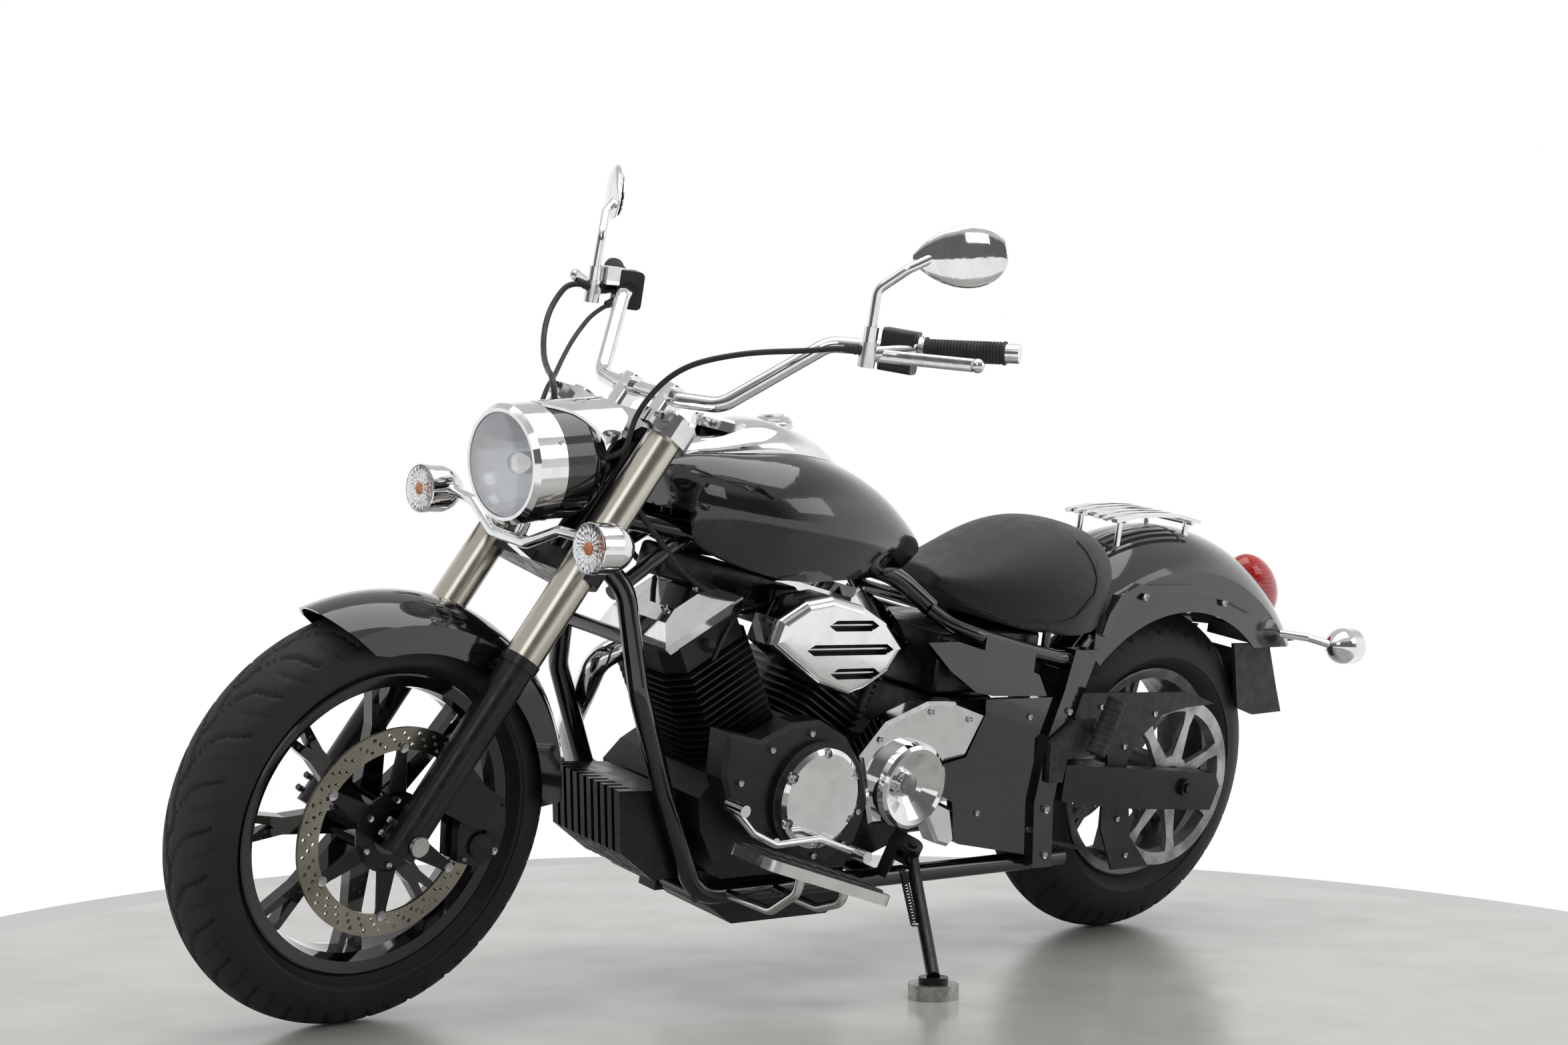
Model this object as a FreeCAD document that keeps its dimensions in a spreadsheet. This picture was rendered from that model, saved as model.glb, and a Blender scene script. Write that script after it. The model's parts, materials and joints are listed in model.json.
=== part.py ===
import FreeCAD, Part
import math
import os

import Sketcher
from FreeCAD import Placement, Rotation, Vector

doc = FreeCAD.newDocument("CruiserMotorcycle")
sheet = doc.addObject("Spreadsheet::Sheet", "Sizes")

# Driving dimensions, in millimetres and degrees. The motorcycle is drawn upright,
# +X forward, +Y to its left, +Z up, with the rear axle straight above the origin
DIMENSIONS = (
    ("wheelbase", 1685, "rear axle to front axle"),
    ("frontTyreRadius", 320, "front tyre outside radius"),
    ("frontTyreWidth", 130, "front tyre section width"),
    ("frontRimRadius", 232, "front rim edge radius"),
    ("frontRimWidth", 92, "front rim over its flanges"),
    ("rearTyreRadius", 322, "rear tyre outside radius"),
    ("rearTyreWidth", 170, "rear tyre section width"),
    ("rearRimRadius", 206, "rear rim edge radius"),
    ("rearRimWidth", 126, "rear rim over its flanges"),
    ("spokeCount", 8, "forked spokes in each wheel"),
    ("spokeWidth", 46, "forked spoke across its rim end"),
    ("spokeThickness", 22, "spoke along the axle"),
    ("hubRadius", 46, "wheel hub"),
    ("hubNose", 33.7, "hub's end inside a brake disc"),
    ("frontHubLeft", 80, "front hub's left end"),
    ("frontHubRight", 60, "front hub's right end"),
    ("rearHubLeft", 136, "rear hub's left end"),
    ("rearHubRight", 110, "rear hub's right end"),
    ("axleRadius", 10, "both wheel axles"),
    ("axleClearance", 0.08, "hub bore over its axle"),
    ("casterAngle", 32, "steering axis back from upright"),
    ("forkOffset", 46.6, "fork legs ahead of the steering axis"),
    ("forkSpacing", 228, "between the fork legs' centres"),
    ("coverRadius", 29, "nickel fork cover"),
    ("sliderRadius", 27.5, "black fork slider"),
    ("sliderTop", 315, "slider's top along the fork from the axle"),
    ("stemRadius", 15, "steering stem"),
    ("lowerClampHeight", 462, "lower clamp along the fork from the axle"),
    ("lowerClampDepth", 34, "lower clamp along the fork"),
    ("upperClampHeight", 714, "upper clamp along the fork from the axle"),
    ("upperClampDepth", 35, "upper clamp along the fork"),
    ("clampReach", 36, "both clamps round a fork cover's centre"),
    ("riserTop", 812, "handlebar risers' top along the fork"),
    ("frontDiscRadius", 160, "front brake disc"),
    ("frontDiscPlace", 76, "front disc left of the centre plane"),
    ("rearDiscRadius", 149, "rear brake disc"),
    ("rearDiscPlace", 106, "rear disc right of the centre plane"),
    ("discThickness", 5, "both brake discs"),
    ("discSlot", 15.2, "opening of both calipers round their discs"),
    ("pulleyRadius", 163, "rear belt pulley"),
    ("pulleyPlace", 125, "middle of the rear pulley left of the centre plane"),
    ("pulleyWidth", 26, "rear pulley rim along the axle"),
    ("barRadius", 12.7, "handlebar tube"),
    ("riserCapRadius", 19, "handlebar clamps on the risers"),
    ("gripRadius", 17, "rubber grip"),
    ("bezelRadius", 92.5, "headlamp bezel"),
    ("bezelDepth", 58, "headlamp bezel along the lamp"),
    ("lensRadius", 79.7, "headlamp lens"),
    ("bucketRadius", 90, "headlamp bucket"),
    ("headlampReach", 1521, "headlamp face from the rear axle"),
    ("headlampHeight", 860, "headlamp centre above the floor"),
    ("headlampTilt", 5.5, "headlamp looking down"),
    ("signalRadius", 38, "front signal housing"),
    ("rearSignalRadius", 36, "rear signal housing"),
    ("frameTubeRadius", 16.5, "cradle tubes"),
    ("cradleHalf", 112, "cradle tube off the centre plane"),
    ("uprightHalf", 158, "rear box upright off the centre plane"),
    ("uprightThickness", 26, "rear box upright across"),
    ("seatRailHalf", 148, "seat rail off the centre plane"),
    ("seatRailRadius", 14, "seat rail"),
    ("strutRadius", 12, "rear fender struts and frame braces"),
    ("crankAhead", 962, "crankshaft ahead of the rear axle"),
    ("crankHeight", 300, "crankshaft above the floor"),
    ("veeAngle", 60, "between the two cylinders"),
    ("caseHalf", 132, "crankcase half width"),
    ("gearboxHalf", 106, "gearbox half width"),
    ("sumpHalf", 88, "sump half width"),
    ("deckHeight", 152, "cylinder's foot from the crankshaft"),
    ("finCount", 13, "fins on each cylinder"),
    ("finPitch", 13, "from fin to fin"),
    ("finThickness", 3.4, "one fin"),
    ("finStart", 158, "first fin from the crankshaft"),
    ("headDepth", 44, "cylinder head along the bore"),
    ("coverStart", 367, "rocker cover's foot from the crankshaft"),
    ("coverDepth", 50, "rocker cover along the bore"),
    ("clutchFace", 178, "clutch cover's face left of the centre plane"),
    ("capRadius", 84, "chrome clutch cap"),
    ("tankHalf", 170, "fuel tank half width"),
    ("tankFront", 1224, "front of the tank ahead of the rear axle"),
    ("tankRear", 640, "rear of the tank"),
    ("tankTop", 918, "tank crest above the floor"),
    ("tankFloor", 708, "tank bottom above the floor"),
    ("tunnelTop", 808, "roof of the tank's tunnel over the frame"),
    ("fenderWall", 4, "sheet of both fenders"),
    ("frontFenderRadius", 347, "front fender crest round its axle"),
    ("frontFenderHalf", 82, "front fender half width"),
    ("rearFenderRadius", 478, "rear fender crest round its axle"),
    ("rearFenderHalf", 128, "rear fender half width"),
    ("armInside", 149, "swingarm beam's inner face off the centre plane"),
    ("armOutside", 175, "swingarm beam's outer face off the centre plane"),
    ("beltThickness", 7, "drive belt"),
    ("beltWidth", 18, "drive belt across"),
    ("outputRadius", 46, "belt's turn round the gearbox pulley"),
    ("outputAhead", 736, "gearbox pulley ahead of the rear axle"),
    ("outputHeight", 367, "gearbox pulley above the floor"),
    ("boardLength", 288, "floorboard"),
    ("boardWidth", 112, "floorboard across"),
    ("mufflerRadius", 47, "muffler"),
    ("headerRadius", 21, "exhaust pipe"),
    ("leanAngle", 10.51, "lean to the left on the side stand"),
    ("steerAngle", 4.26, "front wheel turned left at rest"),
    ("puckRadius", 41, "steel puck under the stand"),
    ("puckHeight", 24, "steel puck under the stand"),
    ("standReach", 402, "puck's centre left of the tyres' line"),
    ("standAhead", 827, "puck's centre ahead of the rear axle"),
    ("standEyeRadius", 17, "side stand's eye and the ears round it"),
    ("standBolt", 8, "bolt through the side stand's eye"),
    ("gap", 0.3, "clearance where pieces meet"),
)
for row, (alias, amount, words) in enumerate(DIMENSIONS, 1):
    sheet.set(f"A{row}", words)
    sheet.set(f"B{row}", str(amount))
    sheet.setAlias(f"B{row}", alias)
doc.recompute()


def size(alias):
    return float(getattr(sheet, alias))


def figure(text):
    return float(sheet.evalExpression(text))


# Every finished piece with the moving body that it belongs to
pieces = []


def keep(piece, body):
    pieces.append((piece, body))
    return piece


# Sketch and feature helpers
def plane_of(body, role):
    for feature in body.Origin.OriginFeatures:
        if feature.Role == role:
            return feature
    raise ValueError(role)


def new_body(label):
    body = doc.addObject("PartDesign::Body", label)
    body.Label = label
    return body


def new_sketch(body, role, name, lift=None):
    sketch = body.newObject("Sketcher::SketchObject", name)
    sketch.AttachmentSupport = [(plane_of(body, role), "")]
    sketch.MapMode = "FlatFace"
    if lift is not None:
        sketch.setExpression("AttachmentOffset.Base.z", lift)
    return sketch


def bind(sketch, constraint, text):
    number = sketch.addConstraint(constraint)
    sketch.setExpression(f"Constraints[{number}]", text)


def pin(sketch, edge, end, across, up):
    bind(sketch, Sketcher.Constraint("DistanceX", -1, 1, edge, end, figure(across)), across)
    bind(sketch, Sketcher.Constraint("DistanceY", -1, 1, edge, end, figure(up)), up)


def bulge_point(start, end, radius):
    # Middle of the arc from start to end, left of the way there for a positive radius
    chord = end.sub(start)
    half = chord.Length / 2
    rise = abs(radius) - math.sqrt(max(radius * radius - half * half, 0))
    left = Vector(-chord.y, chord.x, 0).normalize()
    return start.add(chord.multiply(0.5)).add(left.multiply(math.copysign(rise, radius)))


def outline(sketch, corners):
    # A corner is (across, up), or (across, up, radius) where an arc leads on from it
    spots = [Vector(figure(c[0]), figure(c[1]), 0) for c in corners]
    first = sketch.GeometryCount
    total = len(corners)
    ends = []
    for i, corner in enumerate(corners):
        start = spots[i]
        end = spots[(i + 1) % total]
        if len(corner) == 3:
            middle = bulge_point(start, end, figure(corner[2]))
            edge = sketch.addGeometry(Part.Arc(start, middle, end), False)
            turned = sketch.getPoint(edge, 1).distanceToPoint(start) > 1e-6
            ends.append((2, 1) if turned else (1, 2))
        else:
            edge = sketch.addGeometry(Part.LineSegment(start, end), False)
            ends.append((1, 2))
    for i in range(total):
        after = (i + 1) % total
        joint = Sketcher.Constraint("Coincident", first + i, ends[i][1], first + after, ends[after][0])
        sketch.addConstraint(joint)
    for i, corner in enumerate(corners):
        pin(sketch, first + i, ends[i][0], corner[0], corner[1])
        if len(corner) == 3:
            radius = f"abs({corner[2]})"
            bind(sketch, Sketcher.Constraint("Radius", first + i, figure(radius)), radius)


def ring(sketch, across, up, radius):
    circle = Part.Circle(Vector(figure(across), figure(up), 0), Vector(0, 0, 1), figure(radius))
    edge = sketch.addGeometry(circle, False)
    pin(sketch, edge, 3, across, up)
    bind(sketch, Sketcher.Constraint("Radius", edge, figure(radius)), radius)


def pad(body, sketch, length, name, middle=False, back=False):
    feature = body.newObject("PartDesign::Pad", name)
    feature.Profile = sketch
    feature.setExpression("Length", length)
    feature.Midplane = middle
    feature.Reversed = back
    return feature


def pocket(body, sketch, length, name, middle=False, back=False):
    feature = body.newObject("PartDesign::Pocket", name)
    feature.Profile = sketch
    feature.setExpression("Length", length)
    feature.Midplane = middle
    feature.Reversed = back
    return feature


def turn(body, sketch, name, axis="V_Axis"):
    feature = body.newObject("PartDesign::Revolution", name)
    feature.Profile = sketch
    feature.ReferenceAxis = (sketch, [axis])
    feature.Angle = 360
    return feature


def polar(body, features, count, name, role="Y_Axis"):
    pattern = body.newObject("PartDesign::PolarPattern", name)
    pattern.Originals = features
    pattern.Axis = (plane_of(body, role), [""])
    pattern.Angle = 360
    pattern.setExpression("Occurrences", count)
    body.Tip = pattern
    return pattern


def row_of(body, features, count, reach, name, role="Z_Axis"):
    pattern = body.newObject("PartDesign::LinearPattern", name)
    pattern.Originals = features
    pattern.Direction = (plane_of(body, role), [""])
    pattern.setExpression("Length", reach)
    pattern.setExpression("Occurrences", count)
    body.Tip = pattern
    return pattern


def shaped(label, shape):
    feature = doc.addObject("Part::Feature", label)
    feature.Label = label
    feature.Shape = shape
    return feature


# Shapes drawn straight from their sizes
def path_of(points, bend):
    # Straight runs joined by tangent arcs of the given radius
    edges = []
    spots = [Vector(*p) for p in points]
    start = spots[0]
    for before, corner, after in zip(spots, spots[1:], spots[2:]):
        inward = before.sub(corner).normalize()
        outward = after.sub(corner).normalize()
        half_turn = (math.pi - inward.getAngle(outward)) / 2
        reach = bend * math.tan(half_turn)
        limit = 0.48 * min(before.distanceToPoint(corner), after.distanceToPoint(corner))
        reach = min(reach, limit)
        radius = reach / math.tan(half_turn)
        leave = corner.add(Vector(inward).multiply(reach))
        join = corner.add(Vector(outward).multiply(reach))
        towards = inward.add(outward).normalize()
        centre = corner.add(Vector(towards).multiply(math.hypot(radius, reach)))
        middle = centre.sub(Vector(towards).multiply(radius))
        edges.append(Part.LineSegment(start, leave).toShape())
        edges.append(Part.Arc(leave, middle, join).toShape())
        start = join
    edges.append(Part.LineSegment(start, spots[-1]).toShape())
    return Part.Wire(edges)


def tube(points, radius, bend=60):
    wire = path_of(points, bend)
    first = Vector(*points[0])
    along = Vector(*points[1]).sub(first)
    disc = Part.Wire([Part.Circle(first, along, radius).toShape()])
    return wire.makePipeShell([disc], True, False)


def rod(start, end, radius):
    start = Vector(*start)
    along = Vector(*end).sub(start)
    return Part.makeCylinder(radius, along.Length, start, along)


def plate(corners, low, high):
    # A flat outline seen from the side, drawn from y = low to y = high
    spots = [Vector(across, low, up) for across, up in corners]
    face = Part.Face(Part.makePolygon(spots + spots[:1]))
    return face.extrude(Vector(0, high - low, 0))


def mirrored(shape):
    return shape.mirror(Vector(0, 0, 0), Vector(0, 1, 0))


def both(shape):
    # The shape on the left with its twin on the right
    return Part.makeCompound([shape, mirrored(shape)])


def fused(shapes):
    return shapes[0].multiFuse(shapes[1:]).removeSplitter()


def hull_section(ahead, half, top, middle, low, flat):
    # One cross-section: a smooth crest from the left floor edge over to the right one
    spots = [
        Vector(ahead, -flat, low),
        Vector(ahead, -half * 0.94, (middle + low) / 2),
        Vector(ahead, -half, middle),
        Vector(ahead, -half * 0.72, middle + (top - middle) * 0.72),
        Vector(ahead, 0, top),
        Vector(ahead, half * 0.72, middle + (top - middle) * 0.72),
        Vector(ahead, half, middle),
        Vector(ahead, half * 0.94, (middle + low) / 2),
        Vector(ahead, flat, low),
    ]
    crest = Part.BSplineCurve()
    crest.interpolate(spots)
    return Part.Wire([crest.toShape(), Part.LineSegment(spots[-1], spots[0]).toShape()])


def hull(stations):
    return Part.makeLoft([hull_section(*station) for station in stations], True, False)


def oval(centre, along, tall, thick):
    # An upright ellipse square to the way along
    across = Vector(0, 0, 1).cross(along).normalize()
    up = along.cross(across).normalize()
    side = Vector(across).multiply(thick / 2)
    top = up.multiply(tall / 2)
    return Part.Wire([Part.Ellipse(centre.add(top), centre.add(side), centre).toShape()])


def moved(shape, frame):
    shape = shape.copy()
    shape.transformShape(frame.toMatrix())
    return shape


def shifted(shape, ahead, aside, up):
    return moved(shape, Placement(Vector(ahead, aside, up), Rotation()))


def turned_profile(spots, axis):
    # A ring turned round the X or Y axis from its half section of (along, radius) spots
    if axis == "x":
        section = [Vector(along, 0, radius) for along, radius in spots]
        line = Vector(1, 0, 0)
    else:
        section = [Vector(0, along, radius) for along, radius in spots]
        line = Vector(0, 1, 0)
    face = Part.Face(Part.makePolygon(section + section[:1]))
    return face.revolve(Vector(0, 0, 0), line, 360)


# Where each group of pieces has its own frame on the upright motorcycle
steer_spin = Rotation(Vector(0, 1, 0), -size("casterAngle"))
front_axle_spot = Vector(size("wheelbase"), 0, size("frontTyreRadius"))
rear_axle_spot = Vector(0, 0, size("rearTyreRadius"))
fork_frame = Placement(front_axle_spot, steer_spin)
front_hub = Placement(front_axle_spot, Rotation())
rear_hub = Placement(rear_axle_spot, Rotation())
steer_axis = steer_spin.multVec(Vector(0, 0, 1))
axis_spot = fork_frame.multVec(Vector(-size("forkOffset"), 0, 0))


def from_fork(shape):
    return moved(shape, fork_frame)


def in_fork(shape):
    return moved(shape, fork_frame.inverse())


# Wheels, each round its own axle along Y
CROWN_ANGLES = (-60, -36, -12, 12, 36, 60)


def make_tyre(label, side):
    radius = f"Sizes.{side}TyreRadius"
    crown = f"Sizes.{side}TyreWidth / 2"
    rim = f"Sizes.{side}RimRadius"
    half = f"Sizes.{side}RimWidth / 2"
    wall = f"{rim} + ({radius} - {rim}) * 0.25"
    body = new_body(label)
    section = new_sketch(body, "XY_Plane", f"{label}_section")
    tread = [(f"{radius} - {crown} + {crown} * cos({angle})", f"{crown} * sin({angle})")
             for angle in CROWN_ANGLES]
    outline(section, tread + [
        (wall, f"{crown} * 0.96"),
        (f"{rim} + 1", f"{half} - 5.8"),
        (f"{rim} - 16", f"{half} - 9.6"),
        (f"{rim} - 16", f"9.6 - {half}"),
        (f"{rim} + 1", f"5.8 - {half}"),
        (wall, f"-{crown} * 0.96"),
    ])
    turn(body, section, f"{label}_turn")
    return body


def make_rim(label, side, left_shoulder, left_nose, right_shoulder, right_nose):
    radius = f"Sizes.{side}RimRadius"
    half = f"Sizes.{side}RimWidth / 2"
    left = f"Sizes.{side}HubLeft"
    right = f"Sizes.{side}HubRight"
    body = new_body(label)
    barrel = new_sketch(body, "XY_Plane", f"{label}_barrel")
    outline(barrel, [
        (f"{radius} - 16.3", f"-({half} - 9.3)"),
        (radius, f"-({half} - 5.3)"),
        (radius, f"-({half} - 1)"),
        (f"{radius} - 3", f"-({half})"),
        (f"{radius} - 20", f"-({half} - 4)"),
        (f"{radius} - 26", "-20"),
        (f"{radius} - 26", "20"),
        (f"{radius} - 20", f"{half} - 4"),
        (f"{radius} - 3", half),
        (radius, f"{half} - 1"),
        (radius, f"{half} - 5.3"),
        (f"{radius} - 16.3", f"{half} - 9.3"),
    ])
    turn(body, barrel, f"{label}_barrel_turn")
    centre = new_sketch(body, "XY_Plane", f"{label}_hub")
    bore = "Sizes.axleRadius + Sizes.axleClearance"
    outline(centre, [
        (bore, f"-({right})"),
        (right_nose, f"-({right})"),
        (right_nose, f"-({right_shoulder})"),
        ("Sizes.hubRadius", f"-({right_shoulder})"),
        ("Sizes.hubRadius", left_shoulder),
        (left_nose, left_shoulder),
        (left_nose, left),
        (bore, left),
    ])
    turn(body, centre, f"{label}_hub_turn")
    arm = new_sketch(body, "XZ_Plane", f"{label}_arm")
    outline(arm, [
        ("Sizes.hubRadius - 8", "-20"),
        (f"({radius}) * 0.62", "-13"),
        (f"{radius} - 22", "-(Sizes.spokeWidth / 2)"),
        (f"{radius} - 22", "-(Sizes.spokeWidth / 2 - 11)"),
        (f"({radius}) * 0.68", "-1"),
        (f"({radius}) * 0.68", "1"),
        (f"{radius} - 22", "Sizes.spokeWidth / 2 - 11"),
        (f"{radius} - 22", "Sizes.spokeWidth / 2"),
        (f"({radius}) * 0.62", "13"),
        ("Sizes.hubRadius - 8", "20"),
    ])
    arm_pad = pad(body, arm, "Sizes.spokeThickness", f"{label}_arm_pad", middle=True)
    polar(body, [arm_pad], "Sizes.spokeCount", f"{label}_arms")
    return body


def make_disc(label, side, place):
    body = new_body(label)
    radius = f"Sizes.{side}DiscRadius"
    round_sketch = new_sketch(body, "XZ_Plane", f"{label}_round", place)
    ring(round_sketch, "0", "0", radius)
    ring(round_sketch, "0", "0", f"{radius} * 0.78")
    pad(body, round_sketch, "Sizes.discThickness", f"{label}_band", middle=True)
    carrier = new_sketch(body, "XZ_Plane", f"{label}_carrier", place)
    ring(carrier, "0", "0", "Sizes.hubRadius + 16")
    ring(carrier, "0", "0", "Sizes.hubNose + Sizes.gap")
    pad(body, carrier, "Sizes.discThickness", f"{label}_centre", middle=True)
    arm = new_sketch(body, "XZ_Plane", f"{label}_arm", place)
    outline(arm, [
        ("Sizes.hubRadius + 6", "-16"),
        (f"{radius} * 0.8", "-11"),
        (f"{radius} * 0.8", "11"),
        ("Sizes.hubRadius + 6", "16"),
    ])
    arm_pad = pad(body, arm, "Sizes.discThickness", f"{label}_arm_pad", middle=True)
    polar(body, [arm_pad], "6", f"{label}_arms")
    return body


def make_pulley():
    body = new_body("rear_pulley")
    section = new_sketch(body, "XY_Plane", "pulley_section")
    inner = "Sizes.pulleyPlace - Sizes.pulleyWidth / 2"
    outer = "Sizes.pulleyPlace + Sizes.pulleyWidth / 2"
    outline(section, [
        ("Sizes.pulleyRadius - 24", inner),
        ("Sizes.pulleyRadius - 10", inner),
        ("Sizes.pulleyRadius - 10", f"{outer} - 4"),
        ("Sizes.pulleyRadius", f"{outer} - 4"),
        ("Sizes.pulleyRadius", outer),
        ("Sizes.pulleyRadius - 24", outer),
    ])
    turn(body, section, "pulley_rim")
    middle = new_sketch(body, "XY_Plane", "pulley_middle")
    outline(middle, [
        ("Sizes.hubNose - 1.7", inner),
        ("Sizes.hubRadius + 6", inner),
        ("Sizes.hubRadius + 6", outer),
        ("Sizes.hubNose - 1.7", outer),
    ])
    turn(body, middle, "pulley_boss")
    arm = new_sketch(body, "XZ_Plane", "pulley_arm", f"-({outer})")
    outline(arm, [
        ("Sizes.hubRadius", "-15"),
        ("Sizes.pulleyRadius - 50", "-9"),
        ("Sizes.pulleyRadius - 22", "-14"),
        ("Sizes.pulleyRadius - 22", "14"),
        ("Sizes.pulleyRadius - 50", "9"),
        ("Sizes.hubRadius", "15"),
    ])
    arm_pad = pad(body, arm, "12", "pulley_arm_pad")
    polar(body, [arm_pad], "7", "pulley_arms")
    return body


keep(make_tyre("front_tyre", "front"), "front_wheel")
keep(make_rim("front_rim", "front", "Sizes.frontDiscPlace - Sizes.discThickness / 2", "Sizes.hubNose",
              "Sizes.frontHubRight - 8", "Sizes.hubNose"), "front_wheel")
keep(make_disc("front_disc", "front", "-Sizes.frontDiscPlace"), "front_wheel")
keep(make_tyre("rear_tyre", "rear"), "rear_wheel")
keep(make_rim("rear_rim", "rear", "Sizes.pulleyPlace - Sizes.pulleyWidth / 2", "Sizes.hubNose - 2",
              "Sizes.rearDiscPlace - Sizes.discThickness / 2", "Sizes.hubNose"), "rear_wheel")
keep(make_pulley(), "rear_wheel")
keep(make_disc("rear_disc", "rear", "Sizes.rearDiscPlace"), "rear_wheel")


# Fork, in its own frame: origin on the front axle, Z up along the legs
def make_cylinder(label, radius, length, low, across=None):
    feature = doc.addObject("Part::Cylinder", label)
    feature.Label = label
    feature.setExpression("Radius", radius)
    feature.setExpression("Height", length)
    feature.setExpression("Placement.Base.z", low)
    if across:
        feature.setExpression("Placement.Base.y", across)
    return feature


def make_covers():
    sides = []
    for side, sign in (("left", ""), ("right", "-")):
        sides.append(make_cylinder(f"fork_cover_{side}", "Sizes.coverRadius",
                                   "Sizes.upperClampHeight - Sizes.sliderTop", "Sizes.sliderTop",
                                   f"{sign}Sizes.forkSpacing / 2"))
    feature = doc.addObject("Part::MultiFuse", "fork_covers")
    feature.Label = "fork_covers"
    feature.Shapes = sides
    return feature


keep(make_covers(), "fork")


def make_sliders():
    half = size("forkSpacing") / 2
    radius = size("sliderRadius")
    top = size("sliderTop")
    sides = []
    for sign in (1, -1):
        leg = Part.makeCylinder(radius, top + 25, Vector(0, sign * half, -25))
        lip = Part.makeCylinder(radius + 3, 16, Vector(0, sign * half, top - 16))
        shapes = [leg, lip]
        if sign > 0:
            lug = plate([(0, 60), (-100, 70), (-146, 88), (-138, 118), (0, 150)],
                        size("frontDiscPlace") + 24, size("frontDiscPlace") + 36)
            shapes.append(lug)
        bore = Part.makeCylinder(size("axleRadius") + size("gap"), 120,
                                 Vector(0, sign * half - 60, 0), Vector(0, 1, 0))
        sides.append(fused(shapes).cut(bore))
    return Part.makeCompound(sides)


slider_shape = make_sliders()
keep(shaped("fork_sliders", slider_shape), "fork")


def clamp(label, low, depth, front):
    # A plate across both fork covers and the steering stem
    body = new_body(label)
    flat = new_sketch(body, "XY_Plane", f"{label}_flat", low)
    edge = "Sizes.forkSpacing / 2"
    reach = "Sizes.clampReach"
    outline(flat, [
        (f"-({reach})", f"{edge} + {reach} * 0.5"),
        ("-(Sizes.forkOffset + 34)", "30"),
        ("-(Sizes.forkOffset + 34)", "-30"),
        (f"-({reach})", f"-({edge} + {reach} * 0.5)"),
        (f"-({reach}) * 0.4", f"-({edge} + {reach})"),
        (f"{front} * 0.6", f"-({edge} + {reach})"),
        (front, f"-({edge} + {reach} * 0.8)"),
        (front, f"-({edge} - {reach} * 0.6)"),
        ("8", f"-({edge} * 0.45)"),
        ("8", f"{edge} * 0.45"),
        (front, f"{edge} - {reach} * 0.6"),
        (front, f"{edge} + {reach} * 0.8"),
        (f"{front} * 0.6", f"{edge} + {reach}"),
        (f"-({reach}) * 0.4", f"{edge} + {reach}"),
    ])
    pad(body, flat, depth, f"{label}_plate")
    return body


def make_lower_clamp():
    body = clamp("lower_clamp", "Sizes.lowerClampHeight", "Sizes.lowerClampDepth", "9")
    holes = new_sketch(body, "XY_Plane", "cover_holes", "Sizes.lowerClampHeight")
    ring(holes, "0", "Sizes.forkSpacing / 2", "Sizes.coverRadius + Sizes.gap")
    ring(holes, "0", "-Sizes.forkSpacing / 2", "Sizes.coverRadius + Sizes.gap")
    pocket(body, holes, "Sizes.lowerClampDepth", "cover_holes_cut", back=True)
    shaft = new_sketch(body, "XY_Plane", "steering_stem", "Sizes.lowerClampHeight")
    ring(shaft, "-Sizes.forkOffset", "0", "Sizes.stemRadius")
    pad(body, shaft, "Sizes.upperClampHeight - Sizes.lowerClampHeight", "stem_pad")
    return body


def make_upper_clamp():
    body = clamp("upper_clamp", "Sizes.upperClampHeight", "Sizes.upperClampDepth", "33")
    caps = new_sketch(body, "XY_Plane", "fork_caps", "Sizes.upperClampHeight + Sizes.upperClampDepth")
    ring(caps, "0", "Sizes.forkSpacing / 2", "Sizes.coverRadius - 8")
    ring(caps, "0", "-Sizes.forkSpacing / 2", "Sizes.coverRadius - 8")
    pad(body, caps, "9", "fork_caps_pad")
    for side, sign in (("left", ""), ("right", "-")):
        for edge, place in (("inner", "-7"), ("outer", "7")):
            ear = new_sketch(body, "XY_Plane", f"ear_{side}_{edge}", "Sizes.upperClampHeight + 4")
            middle = f"{sign}(Sizes.forkSpacing / 2) + {place}"
            outline(ear, [
                ("28", f"{middle} - 5"),
                ("54", f"{middle} - 5"),
                ("54", f"{middle} + 5"),
                ("28", f"{middle} + 5"),
            ])
            pad(body, ear, "22", f"ear_{side}_{edge}_pad")
    return body


keep(make_lower_clamp(), "fork")
keep(make_upper_clamp(), "fork")


def make_front_axle():
    half = size("forkSpacing") / 2 + size("sliderRadius") + 4
    radius = size("axleRadius")
    pin_shape = Part.makeCylinder(radius, 2 * half, Vector(0, -half, 0), Vector(0, 1, 0))
    head = Part.makeCylinder(radius + 5, 7, Vector(0, half, 0), Vector(0, 1, 0))
    leg_face = size("forkSpacing") / 2 - size("sliderRadius")
    left = size("frontHubLeft") + size("gap")
    right = size("frontHubRight") + size("gap")
    left_spacer = Part.makeCylinder(radius + 6, leg_face - left, Vector(0, left, 0), Vector(0, 1, 0))
    right_spacer = Part.makeCylinder(radius + 6, leg_face - right, Vector(0, -leg_face, 0),
                                     Vector(0, 1, 0))
    return shaped("front_axle", fused([pin_shape, head, left_spacer, right_spacer]))


keep(make_front_axle(), "fork")


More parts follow.
